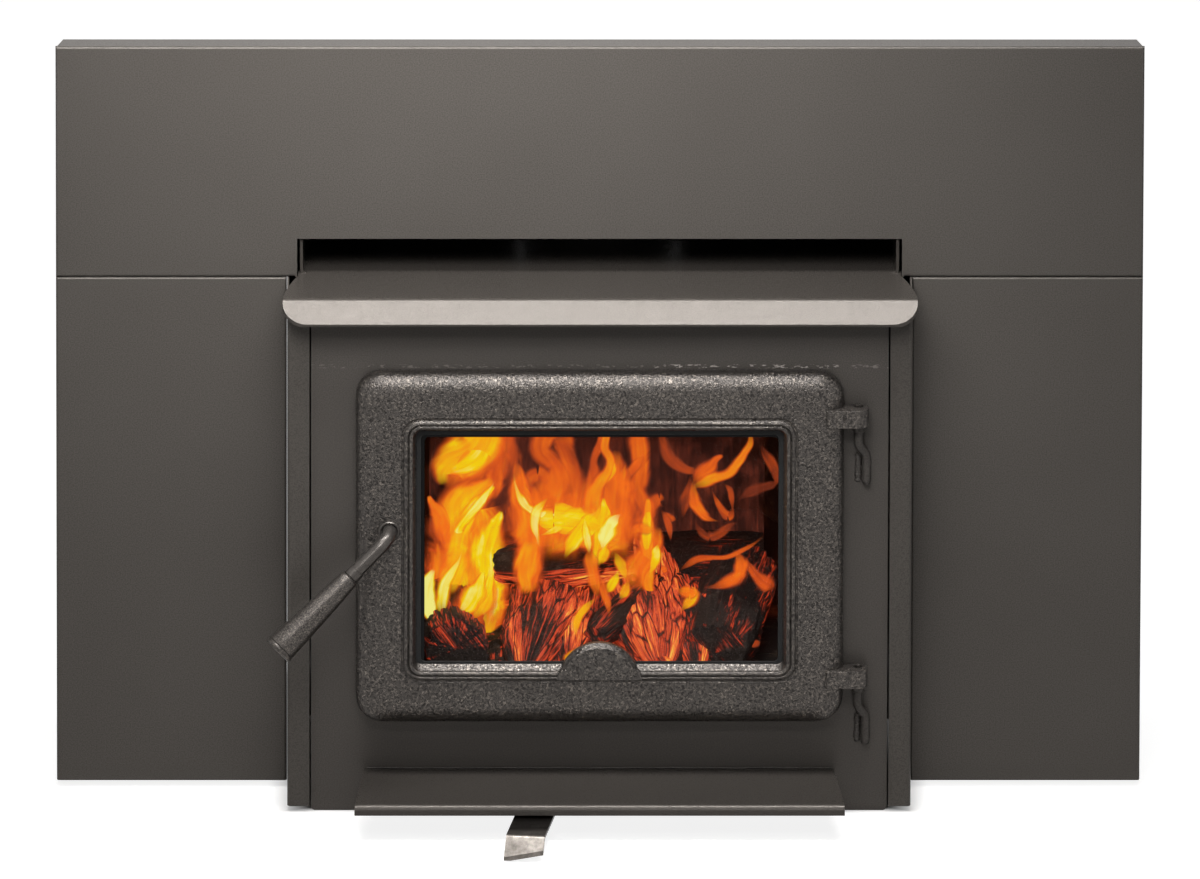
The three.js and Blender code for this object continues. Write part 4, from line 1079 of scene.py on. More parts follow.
def makePin(word, low):
    x, front = pins["x"] * mm, -pins["front"] * mm
    footX, foot = (pins["x"] + pins["joggle"]) * mm, -pins["foot"] * mm
    route = [
        (x, front, (low + 13.9) * mm),
        (x, front, (low - 12) * mm),
        (x, front, (low - 21) * mm),
        (x + 0.0016, front + 0.0014, (low - 26.5) * mm),
        (footX - 0.0016, foot - 0.0014, (low - 33.5) * mm),
        (footX, foot, (low - 39) * mm),
        (footX, foot, (low - 48) * mm),
        (footX, foot, (low - 66.9) * mm),
    ]
    bm = bmesh.new()
    points = smoothPath(route, 6)
    radius = pins["diameter"] / 2 * mm
    rounded = [
        radius * f for f in (0.82, 0.95)
    ] + [radius] * (len(points) - 4) + [radius * f for f in (0.95, 0.82)]
    points[1] = points[0] - Vector((0, 0, 0.0007))
    points[-2] = points[-1] + Vector((0, 0, 0.0007))
    tubeAlong(bm, points, rounded, 28)
    top = low - 0.3
    half, tall = pins["collar"] / 2, pins["collarHeight"]
    collar = ((half - 0.8, 0), (half - 0.3, 0.4), (half, 1.1), (half, tall - 0.6), (half - 0.4, tall))
    turned(bm, (x, front, (top - tall) * mm), (0, 0, 1), collar, 36)
    weld = grow(
        "weld",
        weldRun,
        Start=(0.2654, pins["weldFront"], (low - 64.0) * mm),
        End=(0.2662, pins["weldFront"], (low - 37.5) * mm),
        Puddles=pins["weldPuddles"],
        Width=pins["weldWidth"],
        Seed=pins["weldSeed"][word],
    )
    bm.from_mesh(weld.data)
    closeUp(bm)
    piece = meshFrom(bm, "hinge_pin_" + word + "_fine", finishes["pin_steel"])
    return finishPiece(piece, "body", ("hinge_pin_" + word,), 40)


makePin("upper", door["lugs"][0])
makePin("lower", door["lugs"][1])
print("hinge pins and welds")

# handle

handle = {
    "x": -216.0,
    "z": 310.0,
    "rod": 15.0,
    "elbow": 126.5,
    "elbowRadius": 17.0,
    "gripStep": (-33.3, -11.0, -32.0),
    "gripStart": 20.5,
    "gripEnd": 33.5,
    "gripLength": 107.0,
    "ferrule": 17.0,
    "ferruleLength": 10.0,
}


def makeHandle():
    elbow = Vector((handle["x"], -handle["elbow"], handle["z"])) * mm
    step = Vector(handle["gripStep"]) * mm
    along = step.normalized()
    gripAt = elbow + step
    radius = handle["rod"] / 2 * mm
    bendIn = elbow + Vector((0, handle["elbowRadius"] * mm, 0))
    bendOut = elbow + along * handle["elbowRadius"] * mm
    route = [Vector((elbow.x, -0.0822, elbow.z)), Vector((elbow.x, -0.100, elbow.z)), bendIn]
    route += [
        (1 - t) ** 2 * bendIn + 2 * t * (1 - t) * elbow + t * t * bendOut
        for t in (k / 14 for k in range(1, 14))
    ]
    route += [bendOut, gripAt, gripAt + along * 0.0115]
    bm = bmesh.new()
    tubeAlong(bm, route, radius, 36)
    turned(bm, (elbow.x, -0.0602, elbow.z), (0, -1, 0), ((4.3, 0), (5.0, 0.8), (5.0, 22.5)), 28)

    # the set screw that pins the rod, a bright dot on its lower side
    camSide = Vector((0.0, -0.954, 0.299))
    out = (camSide - along * camSide.dot(along)).normalized()
    down = along.cross(out)
    out = (out * 0.86 - down * 0.5).normalized()
    spot = elbow + along * 0.036
    turned(bm, spot + out * 0.0068, out, ((1.5, 0), (1.5, 0.75), (1.1, 1.05), (0.5, 1.1), (0.4, 0.7)), 16)
    closeUp(bm)
    finishPiece(
        meshFrom(bm, "handle_rod_fine", finishes["handle_steel"]),
        "handle",
        ("handle_rod",),
        40,
    )

    bm = bmesh.new()
    front = -0.1053
    inner, outer = 7.9, 10.8
    section = (
        (inner, 0),
        (outer - 0.5, 0),
        (outer, 0.4),
        (outer, 2.0),
        (outer - 0.9, 3.0),
        (inner + 0.5, 3.0),
        (inner, 2.6),
    )
    rings = []
    for r, a in section:
        ring = []
        for t in fullTurn(48):
            ring.append(
                Vector((elbow.x + r * mm * math.cos(t), front - a * mm, elbow.z + r * mm * math.sin(t)))
            )
        rings.append(ring)
    loft(bm, rings)
    closeUp(bm)
    finishPiece(
        meshFrom(bm, "handle_washer_fine", finishes["handle_steel"]),
        "handle",
        ("handle_washer",),
        40,
    )

    bm = bmesh.new()
    half, long = handle["ferrule"] / 2, handle["ferruleLength"]
    turned(
        bm,
        gripAt,
        along,
        ((7.6, 0), (half - 0.5, 0.0), (half, 0.5), (half, long - 0.8), (half - 0.7, long), (7.6, long)),
        40,
    )
    closeUp(bm)
    finishPiece(
        meshFrom(bm, "handle_ferrule_fine", finishes["handle_steel"]),
        "handle",
        ("handle_ferrule",),
        40,
    )

    bm = bmesh.new()
    start = long + 0.3
    first, last, length = handle["gripStart"] / 2, handle["gripEnd"] / 2, handle["gripLength"]
    profile = [(7.0, start), (first - 2.0, start), (first - 0.8, start + 0.5), (first - 0.2, start + 1.4)]
    for k in range(12):  # the grip swells a little faster near the rod
        t = k / 11
        profile.append((first + (last - 1.0 - first) * (t ** 0.82), start + 2.0 + (length - 9.5) * t))
    profile += [
        (last - 1.1, start + length - 6.6),
        (last - 2.0, start + length - 6.2),
        (last - 2.0, start + length - 5.6),
    ]
    profile += [
        (last - 0.8, start + length - 5.2),
        (last - 0.4, start + length - 4.4),
        (last - 0.5, start + length - 2.2),
    ]
    profile += [
        (last - 1.1, start + length - 0.9), (last - 2.3, start + length - 0.2), (last - 4.5, start + length)
    ]
    turned(bm, gripAt, along, profile, 56)
    closeUp(bm)
    finishPiece(
        meshFrom(bm, "handle_grip_fine", finishes["grip_steel"]),
        "handle",
        ("handle_grip",),
        40,
    )


makeHandle()
refined("latch_cam", "handle", "bare_steel", 0.6)
refined("latch_nut", "handle", "bare_steel", 0.7, 3)
print("handle")

# secondary air tubes with their holes

airTube = {"diameter": 25.0, "wall": 1.5, "holes": 17, "holeDiameter": 5.0, "holeTurn": 28}


def tubeTree():  # a tube with a row of holes along its front
    sizes = {"Length": 0.5, "Radius": 0.0125, "Bore": 0.011, "Holes": 17, "HoleRadius": 0.0025}
    tree, source, sink = newTree("drilledTube", sizes)
    wall = addNode(
        tree,
        "GeometryNodeMeshCylinder",
        {"Vertices": 40, "Radius": source.outputs["Radius"], "Depth": source.outputs["Length"]},
    )
    bore = addNode(
        tree,
        "GeometryNodeMeshCylinder",
        {
            "Vertices": 40,
            "Radius": source.outputs["Bore"],
            "Depth": calc(tree, "ADD", source.outputs["Length"], 0.01),
        },
    )
    hollow = addNode(
        tree,
        "GeometryNodeMeshBoolean",
        {"Mesh 1": wall.outputs[0], "Mesh 2": bore.outputs[0]},
        operation="DIFFERENCE",
    )
    reach = calc(tree, "MULTIPLY", source.outputs["Length"], 0.46)
    start = addNode(tree, "ShaderNodeCombineXYZ", {"Z": calc(tree, "MULTIPLY", reach, -1.0)})
    end = addNode(tree, "ShaderNodeCombineXYZ", {"Z": reach})
    line = addNode(
        tree,
        "GeometryNodeMeshLine",
        {"Count": source.outputs["Holes"], "Start Location": start.outputs[0]},
        mode="END_POINTS",
    )
    tree.links.new(end.outputs[0], line.inputs["Offset"])
    drill = addNode(
        tree,
        "GeometryNodeMeshCylinder",
        {"Vertices": 14, "Radius": source.outputs["HoleRadius"], "Depth": 0.03},
    )
    aimed = addNode(
        tree,
        "GeometryNodeTransform",
        {
            "Geometry": drill.outputs[0],
            "Rotation": (math.radians(90), 0.0, 0.0),
            "Translation": (0.0, 0.015, 0.0),
        },
    )
    drills = addNode(
        tree, "GeometryNodeInstanceOnPoints", {"Points": line.outputs[0], "Instance": aimed.outputs[0]}
    )
    real = addNode(tree, "GeometryNodeRealizeInstances", {"Geometry": drills.outputs[0]})
    drilled = addNode(
        tree,
        "GeometryNodeMeshBoolean",
        {"Mesh 1": hollow.outputs["Mesh"], "Mesh 2": real.outputs[0]},
        operation="DIFFERENCE",
    )
    endTree(tree, drilled.outputs["Mesh"], finishes["bare_steel"], sink)
    return tree


drilledTube = tubeTree()
for index in (1, 2, 3):
    low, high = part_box("air_tube_%d" % index)
    tube = grow(
        "air_tube_%d_fine" % index,
        drilledTube,
        Length=high.x - low.x,
        Radius=airTube["diameter"] / 2 * mm,
        Bore=(airTube["diameter"] / 2 - airTube["wall"]) * mm,
        Holes=airTube["holes"],
        HoleRadius=airTube["holeDiameter"] / 2 * mm,
    )
    # the holes look forward and a little down
    tube.data.transform(Matrix.Rotation(math.radians(airTube["holeTurn"]), 4, "Z"))
    tube.data.transform(Matrix.Rotation(math.radians(90), 4, "Y"))
    centre = (low + high) / 2
    tube.data.transform(Matrix.Translation(centre))
    finishPiece(tube, "body", ("air_tube_%d" % index,), 40)
print("air tubes")

# casing screws: a row in each side and a row on top beside it

casingScrews = {
    "side": {"x": 0.3212, "z": 0.597, "from": 0.045, "to": 0.150, "count": 3},
    "top": {"x": 0.29, "z": 0.606, "from": 0.045, "to": 0.105, "count": 2},
    "head": 0.009,
}


def makeCasingScrews():
    bm = bmesh.new()
    for side in (-1, 1):
        for name, tilt in (("side", math.radians(90 * side)), ("top", 0.0)):
            look = casingScrews[name]
            row = grow(
                "screws",
                screwRow,
                Start=(side * look["x"], look["from"], look["z"]),
                End=(side * look["x"], look["to"], look["z"]),
                Count=look["count"],
                Head=casingScrews["head"],
                Tilt=(0.0, tilt, 0.0),
            )
            bm.from_mesh(row.data)
    finishPiece(meshFrom(bm, "casing_screws", finishes["bare_steel"]), "body")


makeCasingScrews()
print("casing screws")

# logs, embers and flames: what burns in the firebox in the picture


charLook = {"strand": (3.0, 38), "plate": (13, 75), "grit": 2.2, "ash": 16}  # width and length, in mm
flameLook = {
    "silk": (5.5, 48),  # width and length of the fine streaks, in mm
    "cloud": (19, 34),
    "strength": 1.06,
    "thinUpTo": 16,  # a flame no wider than this is a lick, with both ends drawn out
    "thinSpread": 1.65,
    "spread": 1.38,  # the outer part of a sheet is nearly clear, so it is made this much wider
    "cup": 9.0,  # how far a sheet bulges forward at most
    "ceiling": 396.0,  # no flame reaches the air tubes
}


# burnt wood: split black char with grey ash on top, and fibres that glow where the attribute says so
def charredWood(name):
    material, tree, shader, place = startMaterial(name, Roughness=0.92)
    glow = attribute(tree, "glow")
    uv = addNode(tree, "ShaderNodeUVMap", uv_map="fibre").outputs["UV"]
    grit = grain(tree, place, charLook["grit"], 4.0, 0.6)
    ash = grain(tree, place, charLook["ash"], 4.0, 0.6)
    strands = addNode(tree, "ShaderNodeMapping", {"Vector": uv, "Scale": perMillimetre(*charLook["strand"])})
    fibres = streaked(tree, strands.outputs["Vector"], detail=4.0, roughness=0.62, distortion=0.9)
    split = addNode(tree, "ShaderNodeMapping", {"Vector": uv, "Scale": perMillimetre(*charLook["plate"])})
    cells = {"Vector": split.outputs["Vector"], "Scale": 1.0}
    plates = addNode(tree, "ShaderNodeTexVoronoi", cells, feature="DISTANCE_TO_EDGE").outputs["Distance"]
    char = ramp(tree, grit, ((0.3, "1d1917"), (0.55, "352e2a"), (0.75, "544b46")))
    colour = blendColour(tree, stretch(tree, ash, 0.56, 0.7, 0.0, 0.5), char, linear("6b645f"))
    tree.links.new(colour, shader.inputs["Base Color"])
    streak = stretch(tree, fibres, 0.36, 0.64, -0.34, 0.30)
    crack = stretch(tree, plates, 0.01, 0.06, 0.4, 1.0, True)
    heat = calc(
        tree,
        "MULTIPLY",
        calc(tree, "MULTIPLY", calc(tree, "ADD", glow, streak), stretch(tree, glow, 0.02, 0.2)),
        crack,
    )
    fire = ramp(
        tree,
        heat,
        (
            (0.0, "0d0807"),
            (0.12, "140a08"),
            (0.24, "4a1409"),
            (0.42, "b23418"),
            (0.62, "e4532c"),
            (0.82, "ff7d35"),
            (1.0, "ffc44a"),
        ),
    )
    tree.links.new(fire, shader.inputs["Emission Color"])
    shader.inputs["Emission Strength"].default_value = 1.0
    under = addBump(tree, shader, fibres, 1.0, 0.8)
    addBump(tree, shader, grit, 0.5, 0.8, under)
    return material


# burning gas: silky streaks along the flow, yellow inside and red at the rim, clear beyond it
def flameSheet(name):
    material, tree, shader, place = startMaterial(name)
    tree.nodes.remove(shader)
    uv = addNode(tree, "ShaderNodeUVMap", uv_map="flow").outputs["UV"]
    edge, seed = attribute(tree, "flameEdge"), attribute(tree, "flameSeed")
    force, veil = attribute(tree, "flameHeat"), attribute(tree, "flameVeil")
    parts = addNode(tree, "ShaderNodeSeparateXYZ", {"Vector": uv})
    across, along = parts.outputs["X"], parts.outputs["Y"]

    def laid(size, depth):  # a place along this flame, with a third measure that makes each one differ
        wide, long, _ = perMillimetre(*size)
        spot = {
            "X": calc(tree, "MULTIPLY", across, wide), "Y": calc(tree, "MULTIPLY", along, long), "Z": depth
        }
        return addNode(tree, "ShaderNodeCombineXYZ", spot).outputs[0]

    streaks = streaked(tree, laid(flameLook["silk"], seed), detail=2.5, roughness=0.55, distortion=0.5)
    apart = calc(tree, "ADD", seed, 40.0)
    clouds = streaked(tree, laid(flameLook["cloud"], apart), detail=2.0, distortion=0.8)
    rim = calc(tree, "ADD", edge, stretch(tree, clouds, 0.3, 0.7, -0.17, 0.10))
    cover = calc(tree, "MULTIPLY", stretch(tree, rim, 0.0, 0.56, 0.0, 1.0, True), veil)
    inside = stretch(tree, rim, 0.02, 0.62, 0.5, 1.03, True)
    warmth = calc(tree, "MULTIPLY", force, inside)
    warmth = calc(tree, "ADD", warmth, stretch(tree, streaks, 0.32, 0.68, -0.075, 0.06))
    warmth = calc(tree, "ADD", warmth, stretch(tree, clouds, 0.32, 0.68, -0.07, 0.05))
    colour = ramp(
        tree,
        calc(tree, "MULTIPLY", warmth, 0.9),
        (
            (0.0, "3a1d17"),
            (0.1, "5c2a1f"),
            (0.26, "a04226"),
            (0.42, "e25a22"),
            (0.54, "ff7420"),
            (0.66, "ff951e"),
            (0.78, "ffba1a"),
            (0.88, "ffde14"),
            (1.0, "fff98a"),
        ),
    )
    light = addNode(tree, "ShaderNodeEmission", {"Color": colour, "Strength": flameLook["strength"]})
    clear = addNode(tree, "ShaderNodeBsdfTransparent")
    mixed = addNode(tree, "ShaderNodeMixShader", {0: cover, 1: clear.outputs[0], 2: light.outputs[0]})
    tree.links.new(mixed.outputs[0], tree.nodes["Material Output"].inputs["Surface"])
    return material


finishes["charred"] = charredWood("charredWood")
finishes["flame"] = flameSheet("flameGas")

# each log: both ends of its middle line and its radius in mm, how thin its near tip has burnt,
# how much of it glows, and where: over, under or sparks
logs = [
    {
        "from": (-76, -44, 139),
        "to": (-40, 200, 168),
        "radius": 38,
        "tip": 0.35,
        "glow": 0.56,
        "where": "over",
    },
    {"from": (64, -44, 140), "to": (46, 200, 168), "radius": 41, "tip": 0.4, "glow": 0.62, "where": "over"},
    {
        "from": (-108, 112, 205),
        "to": (34, 130, 216),
        "radius": 29,
        "tip": 0.55,
        "glow": 0.85,
        "where": "under",
    },
    {
        "from": (-175, 214, 166),
        "to": (172, 214, 166),
        "radius": 40,
        "tip": 1.0,
        "glow": 0.4,
        "where": "under",
    },
    {
        "from": (-146, -12, 154),
        "to": (-158, 190, 158),
        "radius": 32,
        "tip": 1.0,
        "glow": 0.30,
        "where": "over",
    },
    {
        "from": (120, -14, 150),
        "to": (150, 190, 168),
        "radius": 38,
        "tip": 0.85,
        "glow": 0.75,
        "where": "sparks",
    },
    {"from": (-4, 10, 158), "to": (58, 110, 182), "radius": 19, "tip": 0.7, "glow": 0.45, "where": "sparks"},
    {"from": (100, -40, 138), "to": (84, 150, 160), "radius": 26, "tip": 0.4, "glow": 0.6, "where": "over"},
    {"from": (-30, -44, 134), "to": (-12, 150, 150), "radius": 24, "tip": 0.5, "glow": 0.6, "where": "over"},
]


def hotAt(log, out, spot, fibre):  # how hot one point of a log's skin is, from 0 to 1
    patch = noise.noise(spot * 0.8 + Vector((5, 2, 9)))
    if log["where"] == "sparks":
        near = noise.voronoi(spot * 2.4)[0]
        return log["glow"] * max(0.0, 1 - near[0] / 0.17) + max(0.0, 0.16 + 0.3 * patch)
    if log["where"] == "under":
        low = min(1.0, max(0.0, (-out.z - 0.15) / 0.5))
        return log["glow"] * low * (0.8 + 0.6 * patch) + max(0.0, 0.17 + 0.32 * patch)
    side = min(1.0, max(0.0, 0.55 + 0.55 * out.z + 0.2 * -out.y))
    return log["glow"] * side * (0.72 + 1.1 * patch) + fibre * 0.25


def makeLog(bm, log, index, glowLayer, uvLayer):
    start, end = Vector(log["from"]) * mm, Vector(log["to"]) * mm
    axis = (end - start).normalized()
    side = axis.cross(Vector((0, 0, 1))).normalized()
    down = axis.cross(side)
    if down.z > 0:
        down = -down
    length = (end - start).length
    around, rows = 100, 84
    shift = Vector((index * 3.1, index * 1.7, 0.0))
    caps = (0.04, 0.22, 0.42, 0.62, 0.80, 0.92, 0.98)
    stations = [(0.0, f) for f in caps] + [
        (r / rows, 1.0) for r in range(rows + 1)
    ] + [(1.0, f) for f in reversed(caps)]
    rings, heats, places = [], [], []
    travelled = 0.0
    for number, (t, full) in enumerate(stations):
        if number:
            before = stations[number - 1]
            travelled += (t - before[0]) * length + abs(full - before[1]) * log["radius"] * mm
        ring = []
        for k in range(around):
            angle = 2 * math.pi * k / around  # the seam of the UV map runs along the underside
            out = down * math.cos(angle) + side * math.sin(angle)
            spot = Vector(
                (math.cos(angle) * 1.6, math.sin(angle) * 1.6, t * length / log["radius"] / mm * 0.5)
            ) + shift
            lump = noise.noise(spot * 1.1) * 0.16
            near = noise.voronoi(Vector((spot.x * 1.5, spot.y * 1.5, spot.z * 0.9)))[0]
            crack = max(0.0, 1 - (near[1] - near[0]) / 0.16)
            fibre = noise.noise(Vector((spot.x * 7.5, spot.y * 7.5, spot.z * 0.7)))
            burnt = log["tip"] + (1 - log["tip"]) * min(1.0, t / 0.36) ** 0.7
            radius = log["radius"] * mm * (1 + lump + fibre * 0.07 - crack * 0.07) * full * burnt
            bulge = 0.0
            if full < 1:  # a rough broken end
                away = -1 if t < 0.5 else 1
                bulge = away * mm * (
                    2.4 * (1 - full) + 2.2 * noise.noise(Vector((out.x * full * 3, out.z * full * 3, index)))
                )
            ring.append(start + axis * (length * t + bulge) + out * radius)
            heats.append(min(1.0, max(0.0, hotAt(log, out, spot, fibre))))
        rings.append(ring)
        places.append(travelled)
    grown = loft(bm, rings, closedAcross=False)
    bm.faces.new(grown[0])
    bm.faces.new(grown[-1])
    spots, capSpots = {}, {}
    for r, row in enumerate(grown):
        for k, vert in enumerate(row):
            vert[glowLayer] = heats[r * around + k]
            spots[vert] = (k, places[r])
            if r < len(caps) or r >= len(stations) - len(caps):
                capSpots[vert] = (vert.co.x * 0.8 + vert.co.z * 0.6, vert.co.z * 0.8 - vert.co.x * 0.6)
    girth = 2 * math.pi * log["radius"] * mm
    for face in {face for row in grown for vert in row for face in vert.link_faces}:
        seam = max(
            spots[loop.vert][0] for loop in face.loops
        ) - min(spots[loop.vert][0] for loop in face.loops) > 1
        if all(loop.vert in capSpots for loop in face.loops):  # the broken end has its grain straight across
            for loop in face.loops:
                loop[uvLayer].uv = capSpots[loop.vert]
            continue
        for loop in face.loops:
            k, travel = spots[loop.vert]
            loop[uvLayer].uv = ((around if seam and k == 0 else k) / around * girth + index * 0.4, travel)


# the ember bed: a low mound of lumps on the floor bricks
bed = {"centre": (0, 110, 122.6), "half": (196, 128), "height": 26, "around": 150, "rows": 46}


def makeEmberBed(bm, glowLayer, uvLayer):
    around, rows = bed["around"], bed["rows"]
    top = []
    for r in range(rows + 1):
        reach = r / rows
        ring = []
        for angle in fullTurn(around):
            squarish = 1 / max(abs(math.cos(angle)), abs(math.sin(angle))) ** 0.55
            x = bed["centre"][0] + bed["half"][0] * reach * math.cos(angle) * squarish * 0.86
            y = bed["centre"][1] + bed["half"][1] * reach * math.sin(angle) * squarish * 0.86
            near = noise.voronoi(Vector((x / 17, y / 17, 3.0)))[0]
            lump = max(0.0, 1 - near[0] * 1.6) * 9 * (1 - reach ** 6)
            swell = 0.55 + 0.3 * noise.noise(Vector((x / 40, y / 40, 1)))
            height = bed["height"] * (1 - reach ** 2.2) * swell + lump
            vert = bm.verts.new((x * mm, y * mm, (bed["centre"][2] + max(0.0, height)) * mm))
            gap = max(0.0, 1 - (near[1] - near[0]) / 0.22)
            hot = noise.noise(Vector((x / 45, y / 45, 8))) * 0.5 + 0.5
            middle = max(0.0, 1 - abs(x) / 120)
            vert[glowLayer] = min(1.0, (gap * hot * 0.8 + middle * 0.45 * hot) * (1 - reach * 0.4))
            ring.append(vert)
        top.append(ring)
    for r in range(rows):
        for k in range(around):
            j = (k + 1) % around
            face = bm.faces.new((top[r][k], top[r][j], top[r + 1][j], top[r + 1][k]))
            for loop in face.loops:
                loop[uvLayer].uv = (loop.vert.co.x, loop.vert.co.y)
    base = [bm.verts.new((v.co.x, v.co.y, bed["centre"][2] * mm)) for v in top[-1]]
    for k in range(around):
        j = (k + 1) % around
        bm.faces.new((top[-1][k], top[-1][j], base[j], base[k]))
    bm.faces.new(base)


def makeFuel():
    bm = bmesh.new()
    glowLayer = bm.verts.layers.float.new("glow")
    fibreLayer = bm.loops.layers.uv.new("fibre")
    for index, log in enumerate(logs):
        makeLog(bm, log, index, glowLayer, fibreLayer)
    makeEmberBed(bm, glowLayer, fibreLayer)
    closeUp(bm)
    finishPiece(meshFrom(bm, "burning_logs", finishes["charred"]), "body", (), 60)


makeFuel()
print("logs and embers")
